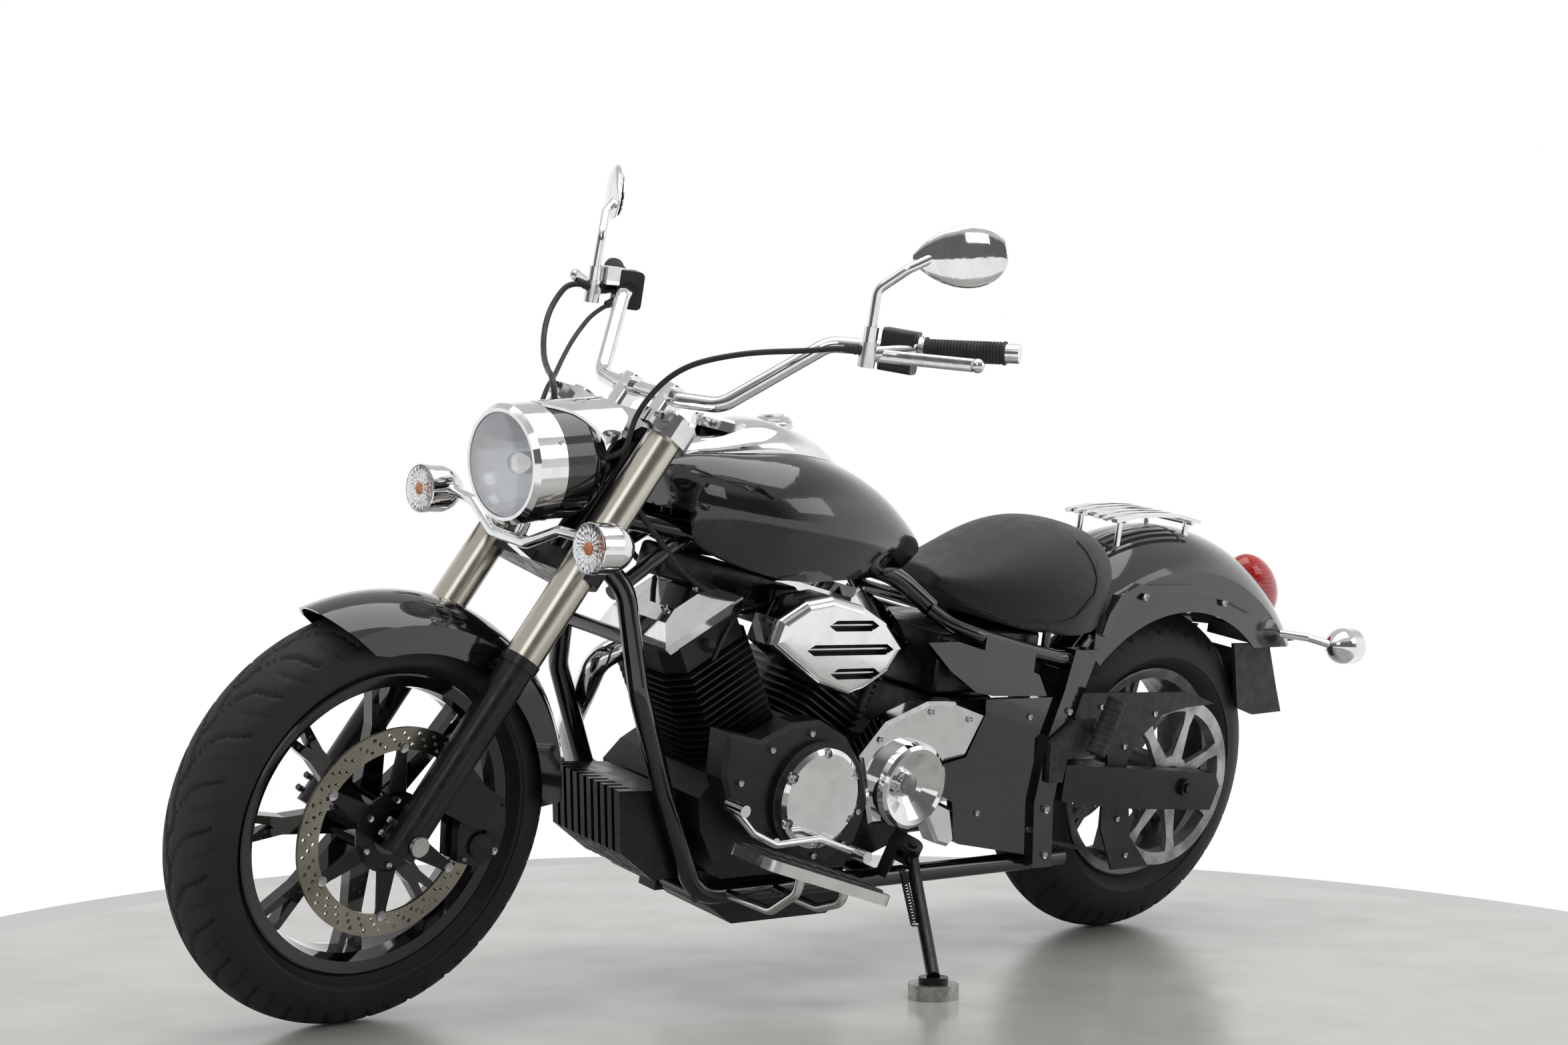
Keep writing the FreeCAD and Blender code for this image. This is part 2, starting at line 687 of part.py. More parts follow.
def make_front_fender():
    # A domed strip turned round the axle, its skirts cut to a pointed nose
    crest = size("frontFenderRadius")
    half = size("frontFenderHalf")
    wall = size("fenderWall")
    low = 272

    def dome(radius, spread):
        start = Vector(low, -spread, 0)
        shoulder = Vector(radius - spread * 0.42, -spread * 0.93, 0)
        arc = Part.Arc(shoulder, Vector(radius, 0, 0), Vector(shoulder.x, -shoulder.y, 0))
        return start, shoulder, arc

    edges = []
    for start, shoulder, arc in (dome(crest, half), dome(crest - wall, half - wall)):
        edges.append(Part.LineSegment(start, shoulder).toShape())
        edges.append(arc.toShape())
        mirror_shoulder = Vector(shoulder.x, -shoulder.y, 0)
        edges.append(Part.LineSegment(mirror_shoulder, Vector(start.x, -start.y, 0)).toShape())
    for sign in (-1, 1):
        edges.append(Part.LineSegment(Vector(low, sign * half, 0),
                                      Vector(low, sign * (half - wall), 0)).toShape())
    section = Part.Face(Part.Wire(Part.__sortEdges__(edges)))
    section.rotate(Vector(0, 0, 0), Vector(0, 1, 0), -64)
    shell = section.revolve(Vector(0, 0, 0), Vector(0, 1, 0), -112)
    nose = plate([(400, 0), (400, 420), (144, 326), (70, 270), (-30, 262), (-30, 0)], -120, 120)
    shell = shell.cut(nose)
    # A pad on each side carries the fender on its fork leg
    legs = moved(from_fork(slider_shape), front_hub.inverse())
    pads = [rod((-153.7, sign * (half - 7), 245.9), (-153.7, sign * (half + 14), 245.9), 15)
            for sign in (1, -1)]
    return shell.multiFuse(pads).cut(legs)


keep(shaped("front_fender", make_front_fender()), "front_hub")


def make_caliper():
    disc = size("frontDiscPlace")
    slot_half = size("discSlot") / 2
    block = plate([(-192, 0), (-184, 44), (-152, 62), (-110, 50), (-104, 0), (-110, -50),
                   (-152, -62), (-184, -44)], disc - 22, disc + 24)
    slot = plate([(-167, -90), (-60, -90), (-60, 90), (-167, 90)], disc - slot_half, disc + slot_half)
    return shaped("front_caliper", block.cut(slot))


keep(make_caliper(), "front_hub")


# Handlebar and what it carries, drawn with the wheel straight ahead
BAR_POINTS = (
    (1250, 74, 985),
    (1229, 148, 990),
    (1122, 252, 1110),
    (1058, 312, 1117),
    (956, 492, 1144),
)
RISER_AHEAD = -16.5
RISER_HALF = 50
RISER_FLAT = 17


def make_bar_tube(radius):
    left = [Vector(*p) for p in BAR_POINTS]
    right = [Vector(p.x, -p.y, p.z) for p in left[::-1]]
    return tube([tuple(p) for p in right + left], radius, 45)


bar_tube = make_bar_tube(size("barRadius"))
bar_room = make_bar_tube(size("barRadius") + size("gap"))


def along_bar(share):
    start = Vector(*BAR_POINTS[-2])
    return start.add(Vector(*BAR_POINTS[-1]).sub(start).multiply(share))


def bar_sleeve(start_share, end_share, radius):
    # A sleeve round the left end of the bar
    start = along_bar(start_share)
    along = along_bar(end_share).sub(start)
    return Part.makeCylinder(radius, along.Length, start, along)


def make_handlebar():
    base = size("upperClampHeight") + size("upperClampDepth")
    rise = size("riserTop") - base
    shapes = [bar_tube]
    for sign in (1, -1):
        post = Part.makeCylinder(19, rise, Vector(RISER_AHEAD, sign * RISER_HALF, base))
        flats = Part.makeBox(60, 2 * RISER_FLAT, rise,
                             Vector(RISER_AHEAD - 30, sign * RISER_HALF - RISER_FLAT, base))
        shapes.append(from_fork(post.common(flats)))
        # Clamp cap round the bar on top of its riser
        middle = BAR_POINTS[0]
        cap_start = Vector(middle[0], sign * RISER_HALF - RISER_FLAT, middle[2])
        shapes.append(Part.makeCylinder(size("riserCapRadius"), 2 * RISER_FLAT, cap_start, Vector(0, 1, 0)))
    for start, end, radius in ((0.25, 0.27, 18), (0.28, 0.3, 18), (0.9, 1.0, 15)):
        collar = bar_sleeve(start, end, radius)
        shapes.append(collar)
        shapes.append(mirrored(collar))
    return fused(shapes)


keep(shaped("handlebar", make_handlebar()), "steering")
keep(shaped("grips", both(bar_sleeve(0.3, 0.9, size("gripRadius")).cut(bar_room))), "steering")


def make_pods():
    # Switch housings, boxes with rounded edges turned with the bar
    depth, width, height = 46, 52, 66
    pod = Part.makeBox(depth, width, height, Vector(-depth / 2, -width / 2, -height / 2 - 3))
    pod = pod.makeFillet(9, [edge for edge in pod.Edges if abs(edge.tangentAt(edge.FirstParameter).y) > 0.9])
    along = Vector(*BAR_POINTS[-1]).sub(Vector(*BAR_POINTS[-2]))
    turn_out = math.degrees(math.atan2(-along.x, along.y))
    pod.rotate(Vector(0, 0, 0), Vector(0, 0, 1), turn_out)
    pod.translate(along_bar(0.105))
    return pod.cut(bar_room)


pod_shape = make_pods()
keep(shaped("switchgear", both(pod_shape)), "steering")


def blade(points, tall, thick, bend):
    # A flat bar with an upright elliptic section
    first = Vector(*points[0])
    along = Vector(*points[1]).sub(first)
    return path_of(points, bend).makePipeShell([oval(first, along, tall, thick)], True, False)


PERCH = Vector(1120, 335, 1108)
MIRROR_SEAT = 1126


def make_levers():
    arm = blade([(1118, 322, 1106), (1086, 372, 1110), (1040, 486, 1120)], 20, 9, 60)
    ball = Part.makeSphere(11, Vector(1040, 486, 1120))
    sleeve = bar_sleeve(0.262, 0.29, 21)
    bridge = rod(tuple(along_bar(0.276)), tuple(PERCH), 11)
    boss = rod((PERCH.x, PERCH.y, PERCH.z - 20), (PERCH.x, PERCH.y, MIRROR_SEAT), 13)
    side = fused([arm, ball, bridge.fuse(sleeve).fuse(boss)])
    side = side.cut(make_handlebar()).cut(pod_shape)
    reservoir = Part.makeBox(46, 34, 30, Vector(1060, -352, 1122))
    right = mirrored(side).fuse(reservoir).cut(mirrored(pod_shape)).cut(make_handlebar())
    return Part.makeCompound([side, right])


lever_shape = make_levers()
keep(shaped("levers", lever_shape), "steering")


def make_mirrors():
    inner = Vector(1075, 354, 1259)
    outer = Vector(1000, 470, 1288)
    along = outer.sub(inner)
    spread = along.Length
    depth = 28
    tallest = 92
    sections = []
    for reach, tall in ((0, 14), (10, 33), (29, 61), (69, 92), (119, 80), (138, 48), (144, 16)):
        place = inner.add(Vector(along).multiply(reach / spread))
        sections.append(oval(place, along, tall, depth * tall / tallest))
    head = Part.makeLoft(sections, True, False)
    foot = Vector(PERCH.x, PERCH.y, MIRROR_SEAT)
    boot = Part.makeCylinder(11, 24, foot)
    stem = tube([tuple(foot), (1119, 333, 1206), (1092, 364, 1244), (1060, 380, 1266)], 7.5, 24)
    return both(fused([head, boot, stem]))


keep(shaped("mirrors", make_mirrors()), "steering")


# Headlamp, drawn round the X axis with its face at the origin
lamp_frame = Placement(Vector(size("headlampReach"), 0, size("headlampHeight")),
                       Rotation(Vector(0, 1, 0), size("headlampTilt")))


def make_lamp():
    rim = size("bezelRadius")
    deep = size("bezelDepth")
    lens = size("lensRadius")
    bowl = size("bucketRadius")
    inside = bowl - 2
    bezel = turned_profile([(0, lens + 0.3), (0, rim - 7), (-8, rim), (-deep, rim), (-deep, inside + 0.3),
                            (-7, inside + 0.3), (-7, lens + 0.3)], "x")
    rise = Part.Arc(Vector(0, 0, lens), Vector(7, 0, lens * 0.6), Vector(10, 0, 6)).toShape()
    lens_edges = [rise, Part.makePolygon([Vector(10, 0, 6), Vector(10, 0, 0), Vector(-6, 0, 0),
                                          Vector(-6, 0, lens), Vector(0, 0, lens)])]
    glass = Part.Face(Part.Wire(lens_edges)).revolve(Vector(0, 0, 0), Vector(1, 0, 0), 360)
    back = Part.Arc(Vector(-112, 0, bowl), Vector(-158, 0, bowl * 0.66), Vector(-178, 0, 12)).toShape()
    hollow = Part.Arc(Vector(-62, 0, 12), Vector(-42, 0, bowl * 0.6), Vector(-7, 0, inside - 8)).toShape()
    shell_edges = [
        Part.makePolygon([Vector(-7, 0, inside - 8), Vector(-7, 0, inside), Vector(-deep, 0, inside),
                          Vector(-deep, 0, bowl), Vector(-112, 0, bowl)]),
        back,
        Part.makePolygon([Vector(-178, 0, 12), Vector(-178, 0, 0), Vector(-62, 0, 0),
                          Vector(-62, 0, 12)]),
        hollow,
    ]
    bucket = Part.Face(Part.Wire(shell_edges)).revolve(Vector(0, 0, 0), Vector(1, 0, 0), 360)
    # The chrome cover on top is a sheet round the bucket, cut to an arrow in plan
    sheet_ring = turned_profile([(-44, bowl), (-44, bowl + 4), (-196, bowl + 4), (-196, bowl)], "x")
    arrow = [Vector(*p) for p in ((-deep - 1, 14, 0), (-100, 42, 0), (-134, 82, 0), (-168, 78, 0),
                                  (-194, 58, 0))]
    arrow += [Vector(p.x, -p.y, 0) for p in arrow[::-1]]
    prism = Part.Face(Part.makePolygon(arrow + arrow[:1])).extrude(Vector(0, 0, 200))
    cover = sheet_ring.common(prism)
    return [moved(shape, lamp_frame) for shape in (glass, bezel, bucket, cover)]


lens_shape, bezel_shape, bucket_shape, cover_shape = make_lamp()
keep(shaped("headlamp_lens", lens_shape), "steering")
keep(shaped("headlamp_bezel", bezel_shape), "steering")
keep(shaped("headlamp_shell", bucket_shape), "steering")
keep(shaped("headlamp_visor", cover_shape), "steering")


def bullet(radius, depth):
    # A lamp housing looking along +X, its face at the origin
    wall = depth * 0.45
    back = Part.Arc(Vector(-wall, 0, radius), Vector(-depth * 0.82, 0, radius * 0.66),
                    Vector(-depth, 0, 6)).toShape()
    edges = [
        Part.makePolygon([Vector(0, 0, 0), Vector(0, 0, radius - 3), Vector(-3, 0, radius),
                          Vector(-wall, 0, radius)]),
        back,
        Part.makePolygon([Vector(-depth, 0, 6), Vector(-depth, 0, 0), Vector(0, 0, 0)]),
    ]
    return Part.Face(Part.Wire(edges)).revolve(Vector(0, 0, 0), Vector(1, 0, 0), 360)


def make_front_signals():
    bend_points = [(1470, 200, 785), (1478, 110, 782), (1485, 42, 748)]
    spots = [(x, -y, z) for x, y, z in bend_points] + bend_points[::-1]
    shapes = [tube(spots, 9, 26)]
    low = size("lowerClampHeight")
    shapes.append(from_fork(Part.makeBox(46, 28, 17, Vector(9, -14, low))))
    shapes.append(rod((1466, 0, 752), (1452, 0, 792), 9).cut(bucket_shape))
    for sign in (1, -1):
        housing = bullet(size("signalRadius"), 78)
        housing.translate(Vector(1505, sign * 216, 779))
        shapes.append(housing)
    return fused(shapes).cut(bezel_shape)


keep(shaped("front_signals", make_front_signals()), "steering")


# Cords ride with the handlebar and end in the headlamp bucket: (name, radius, bend, spots)
CORDS = (
    ("clutch_cable", 4.5, 40, ((1122, 333, 1112), (1150, 308, 1112), (1181, 272, 1099), (1232, 215, 1085),
                               (1271, 172, 1067), (1299, 142, 1049), (1320, 119, 1024),
                               (1337, 100, 989), (1350, 90, 952), (1356, 92, 918), (1368, 92, 896),
                               (1396, 56, 880))),
    ("brake_hose", 5, 40, ((1122, -333, 1112), (1160, -345, 1124), (1200, -338, 1080), (1240, -300, 1040),
                           (1285, -235, 1002), (1325, -165, 985), (1352, -120, 985), (1362, -92, 955),
                           (1362, -93, 920), (1368, -93, 900), (1390, -56, 894))),
    ("throttle_cable", 4, 40, ((1062, -325, 1100), (1110, -330, 1078), (1180, -290, 1034),
                               (1240, -240, 1000), (1296, -186, 972), (1340, -142, 965),
                               (1370, -114, 942), (1386, -103, 900), (1392, -98, 884),
                               (1404, -60, 862))),
)
for cord_name, cord_radius, cord_bend, cord_spots in CORDS:
    cord = tube(cord_spots, cord_radius, cord_bend)
    cord = cord.cut(bucket_shape).cut(lever_shape).cut(both(pod_shape)).cut(cover_shape)
    keep(shaped(cord_name, cord), "steering")
    straight = sum(Vector(*a).distanceToPoint(Vector(*b)) for a, b in zip(cord_spots, cord_spots[1:]))
    print(cord_name, "radius", cord_radius, "bend", cord_bend, "length about", round(straight))


# Frame
def head_point(height):
    # A point on the steering axis at the given height
    slope = math.tan(math.radians(size("casterAngle")))
    return Vector(axis_spot.x - (height - axis_spot.z) * slope, 0, height)


HEAD_LOW = 721
HEAD_HIGH = 896


def make_backbone():
    shapes = [rod(tuple(head_point(HEAD_LOW)), tuple(head_point(HEAD_HIGH)), 30)]
    brace = size("strutRadius")
    roof = size("tunnelTop")
    for sign in (1, -1):
        shapes.append(tube([(1322, sign * 14, 790), (1180, sign * 45, 772), (900, sign * 52, 745),
                            (720, sign * 62, 705), (655, sign * 92, 655)], 17, 120))
        shapes.append(rod((1322, sign * 64, 672), (1165, sign * 46, 770), brace))
        # Cushions under the tank and a rest for the saddle's nose
        shapes.append(rod((1150, sign * 46, 765), (1150, sign * 46, roof), 10))
        shapes.append(rod((760, sign * 60, 712), (760, sign * 60, roof), 10))
    shapes.append(rod((660, -88, 660), (660, 88, 660), brace))
    return fused(shapes).cut(stem_room)


stem_room = rod(tuple(head_point(HEAD_LOW - 20)), tuple(head_point(HEAD_HIGH + 20)),
                size("stemRadius") + 1)
backbone_shape = make_backbone()


def make_cradle(extra):
    half = size("cradleHalf")
    radius = size("frameTubeRadius") + extra
    brace = size("strutRadius") + extra
    shapes = []
    for sign in (1, -1):
        shapes.append(tube([(1352, sign * 44, 738), (1306, sign * 78, 680),
                            (1280, sign * half, 520), (1207, sign * half, 358),
                            (1116, sign * half, 182), (700, sign * (half + 10), 186),
                            (276, sign * (half + 22), 194)], radius, 70))
    for ahead, height, spread in ((1294, 604, 88), (1112, 182, half), (720, 186, half + 8)):
        shapes.append(rod((ahead, -spread, height), (ahead, spread, height), brace))
    return fused(shapes)


cradle_whole = make_cradle(0)
# The room that pieces seated on the tubes leave for them
cradle_room = make_cradle(size("gap"))


def make_uprights():
    inside = size("uprightHalf") - size("uprightThickness") / 2
    outside = inside + size("uprightThickness")
    rail_half = size("seatRailHalf")
    rail = size("seatRailRadius")
    strut = size("strutRadius")
    post = plate([(337, 190), (387, 190), (407, 312), (395, 435), (370, 516), (355, 592), (292, 592),
                  (324, 500), (345, 425), (357, 312)], inside, outside)
    seat_rail = tube([(664, 100, 652), (636, 130, 630), (586, rail_half, 616), (475, rail_half, 592),
                      (377, rail_half, 573), (318, rail_half + 8, 571)], rail, 60)
    strut_half = 106
    fender_strut = tube([(322, rail_half - 6, 571), (292, 118, 578), (250, strut_half, 606),
                         (200, strut_half, 652), (142, strut_half, 683), (20, strut_half, 688), (-90, strut_half, 672)],
                        strut, 40)
    side = [post, seat_rail, fender_strut, rod((404, 140, 582), (404, 140, 620), 8)]
    for ahead, height in ((142, 683), (-90, 672)):
        side.append(rod((ahead, strut_half, height), (ahead, strut_half + 24, height), 9))
    left = fused(side)
    return fused([left, mirrored(left), rod((350, -inside, 560), (350, inside, 560), strut)])


uprights_whole = make_uprights()


def make_fender_section(crest, half, foot):
    # Half moon across the rear wheel, from one foot over the crest to the other
    side = Vector(foot, half, 0)
    shoulder = Vector(crest - half * 0.55, half * 0.96, 0)
    other_side = Vector(side.x, -side.y, 0)
    other_shoulder = Vector(shoulder.x, -shoulder.y, 0)
    return [
        Part.LineSegment(side, shoulder).toShape(),
        Part.Arc(shoulder, Vector(crest, 0, 0), other_shoulder).toShape(),
        Part.LineSegment(other_shoulder, other_side).toShape(),
    ]


def swept_fender(edges):
    section = Part.Face(Part.Wire(Part.__sortEdges__(edges)))
    section.rotate(Vector(0, 0, 0), Vector(0, 1, 0), -44)
    shell = section.revolve(Vector(0, 0, 0), Vector(0, 1, 0), -108)
    shell.translate(rear_axle_spot)
    return shell


def make_rear_fender():
    crest = size("rearFenderRadius")
    half = size("rearFenderHalf")
    wall = size("fenderWall")
    foot = size("rearTyreRadius") + 8
    outer = make_fender_section(crest, half, foot)
    inner = make_fender_section(crest - wall, half - wall, foot)
    lips = []
    for sign in (1, -1):
        lips.append(Part.LineSegment(Vector(foot, sign * half, 0),
                                     Vector(foot, sign * (half - wall), 0)).toShape())
    shell = swept_fender(outer + inner + lips)
    closing = [Part.LineSegment(Vector(foot, half, 0), Vector(foot, -half, 0)).toShape()]
    filled = swept_fender(outer + closing)
    below = Part.makeBox(600, 400, 600, Vector(-500, -200, -20))
    ahead = Part.makeBox(400, 400, 900, Vector(256, -200, 0))
    shell = shell.cut(below).cut(ahead)
    # The raised strip along each side, over the struts inside
    strip = plate([(250, 612), (238, 650), (214, 684), (166, 706), (138, 704), (20, 706), (-100, 692),
                   (-180, 662), (-172, 650), (-98, 674), (20, 690), (136, 688), (160, 690),
                   (200, 666), (222, 640), (236, 606)], 112, half + 7)
    strips = both(strip).cut(filled)
    return shell.multiFuse(strips.Solids), filled


fender_shape, fender_solid = make_rear_fender()
uprights_shape = uprights_whole.cut(fender_shape).cut(backbone_shape)
cradle_shape = cradle_whole.cut(backbone_shape).cut(uprights_shape)
keep(shaped("frame_backbone", backbone_shape), "chassis")
keep(shaped("frame_cradle", cradle_shape), "chassis")
keep(shaped("frame_uprights", uprights_shape), "chassis")


# Engine
def make_crankcase():
    half = size("caseHalf")
    gearbox = size("gearboxHalf")
    sump = size("sumpHalf")
    crank = plate([(1150, 352), (1118, 386), (962, 476), (812, 389.5), (812, 214), (1085, 214),
                   (1140, 300)], -half, half)
    deck = size("deckHeight")
    for sign in (1, -1):
        above = Part.makeBox(300, 600, 200, Vector(-150, -300, deck))
        crank = crank.cut(moved(above, jug_place(sign)))
    box = plate([(812, 214), (812, 389), (790, 392), (765, 430), (720, 446), (640, 420), (620, 330),
                 (650, 250), (760, 214)], -gearbox, gearbox)
    pan = plate([(773, 214), (773, 136), (800, 118), (1010, 118), (1060, 150), (1090, 214)], -sump, sump)
    output = Vector(size("outputAhead"), gearbox, size("outputHeight"))
    boss = Part.makeCylinder(size("outputRadius") - size("gap"), 28, output, Vector(0, 1, 0))
    right_cover = Part.makeCylinder(92, 26, Vector(944, -half - 26, 330), Vector(0, 1, 0))
    rim_edges = [edge for edge in right_cover.Edges if abs(edge.CenterOfMass.y + half + 26) < 1]
    right_cover = right_cover.makeFillet(8, rim_edges)
    lug = plate([(1060, 214), (1060, 165), (1128, 165), (1128, 200), (1100, 230)], -22, 22)
    rear_lug = plate([(700, 240), (700, 170), (740, 170), (790, 220)], -22, 22)
    hanger = rod((1160, -gearbox, 300), (1160, gearbox, 300), size("strutRadius"))
    return fused([crank, box, pan, boss, right_cover, lug, rear_lug]).cut(hanger)


def jug_place(sign):
    return Placement(Vector(size("crankAhead"), 0, size("crankHeight")),
                     Rotation(Vector(0, 1, 0), sign * size("veeAngle") / 2))


crankcase_shape = make_crankcase().cut(cradle_room)
keep(shaped("crankcase", crankcase_shape), "chassis")


def make_jug(label):
    # Cylinder barrel, fins and head, with Z along the bore from the crankshaft
    body = new_body(label)
    start = "Sizes.finStart"
    barrel = new_sketch(body, "XY_Plane", f"{label}_barrel", "Sizes.deckHeight")
    ring(barrel, "0", "0", "66")
    pad(body, barrel, f"{start} - Sizes.deckHeight + Sizes.finCount * Sizes.finPitch",
        f"{label}_barrel_pad")
    fin = new_sketch(body, "XY_Plane", f"{label}_fin", start)
    outline(fin, [
        ("-88", "-62"), ("-62", "-104"), ("62", "-104"), ("88", "-62"),
        ("88", "62"), ("62", "104"), ("-62", "104"), ("-88", "62"),
    ])
    fin_pad = pad(body, fin, "Sizes.finThickness", f"{label}_fin_pad")
    row_of(body, [fin_pad], "Sizes.finCount", "(Sizes.finCount - 1) * Sizes.finPitch",
           f"{label}_fins")
    head = new_sketch(body, "XY_Plane", f"{label}_head", "Sizes.coverStart - Sizes.headDepth")
    outline(head, [
        ("-80", "-60"), ("-60", "-96"), ("60", "-96"), ("80", "-60"),
        ("80", "60"), ("60", "96"), ("-60", "96"), ("-80", "60"),
    ])
    pad(body, head, "Sizes.headDepth", f"{label}_head_pad")
    return body


front_jug = keep(make_jug("front_cylinder"), "front_jug")
rear_jug = keep(make_jug("rear_cylinder"), "rear_jug")
doc.recompute()
jug_shapes = [moved(front_jug.Shape, jug_place(1)), moved(rear_jug.Shape, jug_place(-1))]


def make_rocker():
    # A faceted cover: its side view and its front view, drawn through each other
    base = size("coverStart")
    top = base + size("coverDepth")
    side = plate([(-78, base), (78, base), (84, base + 14), (56, top - 8), (28, top), (-28, top),
                  (-56, top - 8), (-84, base + 14)], -94, 94)
    spots = [Vector(-100, across, up) for across, up in ((-94, base), (94, base), (94, base + 16),
                                                         (66, top), (-66, top), (-94, base + 16))]
    front = Part.Face(Part.makePolygon(spots + spots[:1])).extrude(Vector(200, 0, 0))
    return side.common(front)


rocker_shape = Part.makeCompound([moved(make_rocker(), jug_place(sign)) for sign in (1, -1)])
keep(shaped("rocker_covers", rocker_shape), "chassis")


def make_clutch_cover():
    half = size("caseHalf")
    face = size("clutchFace")
    cover = plate([(1145, 470), (1071, 455), (1008, 481), (950, 484), (885, 452), (842, 400),
                   (819, 335), (836, 272), (901, 239), (985, 258), (1060, 296), (1112, 332),
                   (1142, 394)], half, face)
    face_edges = [edge for edge in cover.Edges if abs(edge.CenterOfMass.y - face) < 1]
    cover = cover.makeChamfer(7, face_edges)
    boss = Part.makeCylinder(size("capRadius") + 10, face + 10 - half, Vector(947, half, 358),
                             Vector(0, 1, 0))
    return fused([cover, boss])


clutch_shape = make_clutch_cover()
keep(shaped("clutch_cover", clutch_shape), "chassis")


def make_clutch_cap():
    # A chrome lid with a notch for each of its screws
    radius = size("capRadius")
    base = size("clutchFace") + 10
    lid = turned_profile([(0, 0), (0, radius), (9, radius), (14, radius - 8), (14, 0)], "y")
    notches = []
    for step in range(6):
        angle = math.radians(30 + 60 * step)
        spot = Vector((radius - 7) * math.cos(angle), 5, (radius - 7) * math.sin(angle))
        notches.append(Part.makeCylinder(9, 20, spot, Vector(0, 1, 0)))
    lid = lid.cut(Part.makeCompound(notches))
    lid.translate(Vector(947, base, 358))
    return lid


keep(shaped("clutch_cap", make_clutch_cap()), "chassis")


def make_pulley_cover():
    base = size("caseHalf") + 6
    face = base + 36
    ahead = size("outputAhead") + 4
    height = size("outputHeight")
    cover = plate([(848, 417), (798, 474), (706, 507), (640, 506), (563, 483), (600, 408), (650, 401),
                   (667, 383), (674, 339), (618, 317), (598, 258), (612, 246), (642, 254),
                   (672, 298), (806, 298)], base, face)
    face_edges = [edge for edge in cover.Edges if abs(edge.CenterOfMass.y - face) < 1]
    cover = cover.makeChamfer(6, face_edges)
    dish = turned_profile([(0, 0), (0, 76), (52, 76), (61, 72), (65, 66), (62, 58), (46, 34), (40, 22),
                           (46, 18), (46, 0)], "y")
    dish.translate(Vector(ahead, base, height))
    gearbox = size("gearboxHalf")
    posts = [rod((672, gearbox, 360), (672, base + 2, 360), 8),
             rod((832, size("caseHalf"), 392), (832, base + 2, 392), 9)]
    output = Part.makeCylinder(size("outputRadius") + size("beltThickness"), base - gearbox,
                               Vector(size("outputAhead"), gearbox, height), Vector(0, 1, 0))
    return fused([cover, dish] + [post.cut(output) for post in posts[:1]] + posts[1:])


pulley_cover_shape = make_pulley_cover().cut(clutch_shape)
keep(shaped("pulley_cover", pulley_cover_shape), "chassis")


def slot_plan(height, start, end):
    # A long opening with pointed ends, seen from the side
    half = 9
    taper = 16
    return [(start, height), (start + taper, height + half), (end - taper, height + half), (end, height),
            (end - taper, height - half), (start + taper, height - half)]


def make_air_cleaner():
    face = 190
    cover = plate([(1086, 612), (1073, 654), (1020, 684), (966, 692), (896, 676), (839, 649),
                   (794, 605), (823, 562), (871, 535), (905, 524), (975, 545), (1031, 578)],
                  122, face)
    cover = cover.makeFillet(18, [edge for edge in cover.Edges
                                  if abs(edge.CenterOfMass.y - face) < 1])
    slots = []
    for height, start, end in ((644, 862, 972), (604, 823, 1013), (564, 846, 956)):
        slots.append(plate(slot_plan(height, start, end), face - 24, face + 10))
    neck = rod((960, 0, 640), (960, 122, 640), 30)
    manifold = rod((850, 0, 642), (1074, 0, 642), 18)
    carried = neck.fuse(manifold)
    for shape in jug_shapes:
        carried = carried.cut(shape)
    carried = carried.cut(rocker_shape)
    return fused([cover.cut(Part.makeCompound(slots)), carried])


keep(shaped("air_cleaner", make_air_cleaner()), "chassis")


# Tank, console and saddle
def make_tank():
    front = size("tankFront")
    length = front - size("tankRear")
    half = size("tankHalf")
    top = size("tankTop")
    low = size("tankFloor")
    depth = top - low
    # Each row: how far along, then half width, crest, widest height, floor and floor half width
    shares = (
        (0.0, 0.32, 0.80, 0.60, 0.42, 0.20),
        (0.04, 0.50, 0.86, 0.56, 0.30, 0.38),
        (0.12, 0.80, 0.94, 0.52, 0.16, 0.64),
        (0.24, 0.96, 0.985, 0.48, 0.05, 0.80),
        (0.36, 1.0, 1.0, 0.45, 0.0, 0.84),
        (0.50, 0.96, 0.95, 0.42, 0.0, 0.80),
        (0.64, 0.86, 0.84, 0.39, 0.01, 0.72),
        (0.78, 0.70, 0.65, 0.34, 0.04, 0.58),
        (0.90, 0.50, 0.42, 0.24, 0.07, 0.42),
        (1.0, 0.34, 0.22, 0.15, 0.08, 0.30),
    )
    stations = []
    for along, wide, crest, middle, floor, flat in shares:
        stations.append((front - along * length, half * wide, low + depth * crest,
                         low + depth * middle, low + depth * floor, half * flat))
    tunnel = Part.makeBox(720, 164, size("tunnelTop") - low + 10, Vector(600, -82, low - 10))
    neck = rod(tuple(head_point(600)), tuple(head_point(1000)), 44)
    return hull(stations).cut(tunnel).cut(neck)


tank_shape = make_tank()
keep(shaped("fuel_tank", tank_shape), "chassis")


def make_console():
    stations = [
        (1186, 36, 905, 893, 880, 34),
        (1150, 60, 921, 902, 870, 56),
        (1100, 76, 941, 908, 870, 70),
        (1037, 80, 955, 910, 870, 74),
        (980, 76, 947, 905, 860, 70),
        (920, 62, 928, 890, 850, 58),
        (860, 40, 894, 868, 830, 38),
        (812, 16, 862, 848, 820, 14),
    ]
    neck = rod(tuple(head_point(600)), tuple(head_point(1000)), 44)
    return shaped("tank_console", hull(stations).cut(shifted(tank_shape, 0, 0, size("gap"))).cut(neck))


keep(make_console(), "chassis")


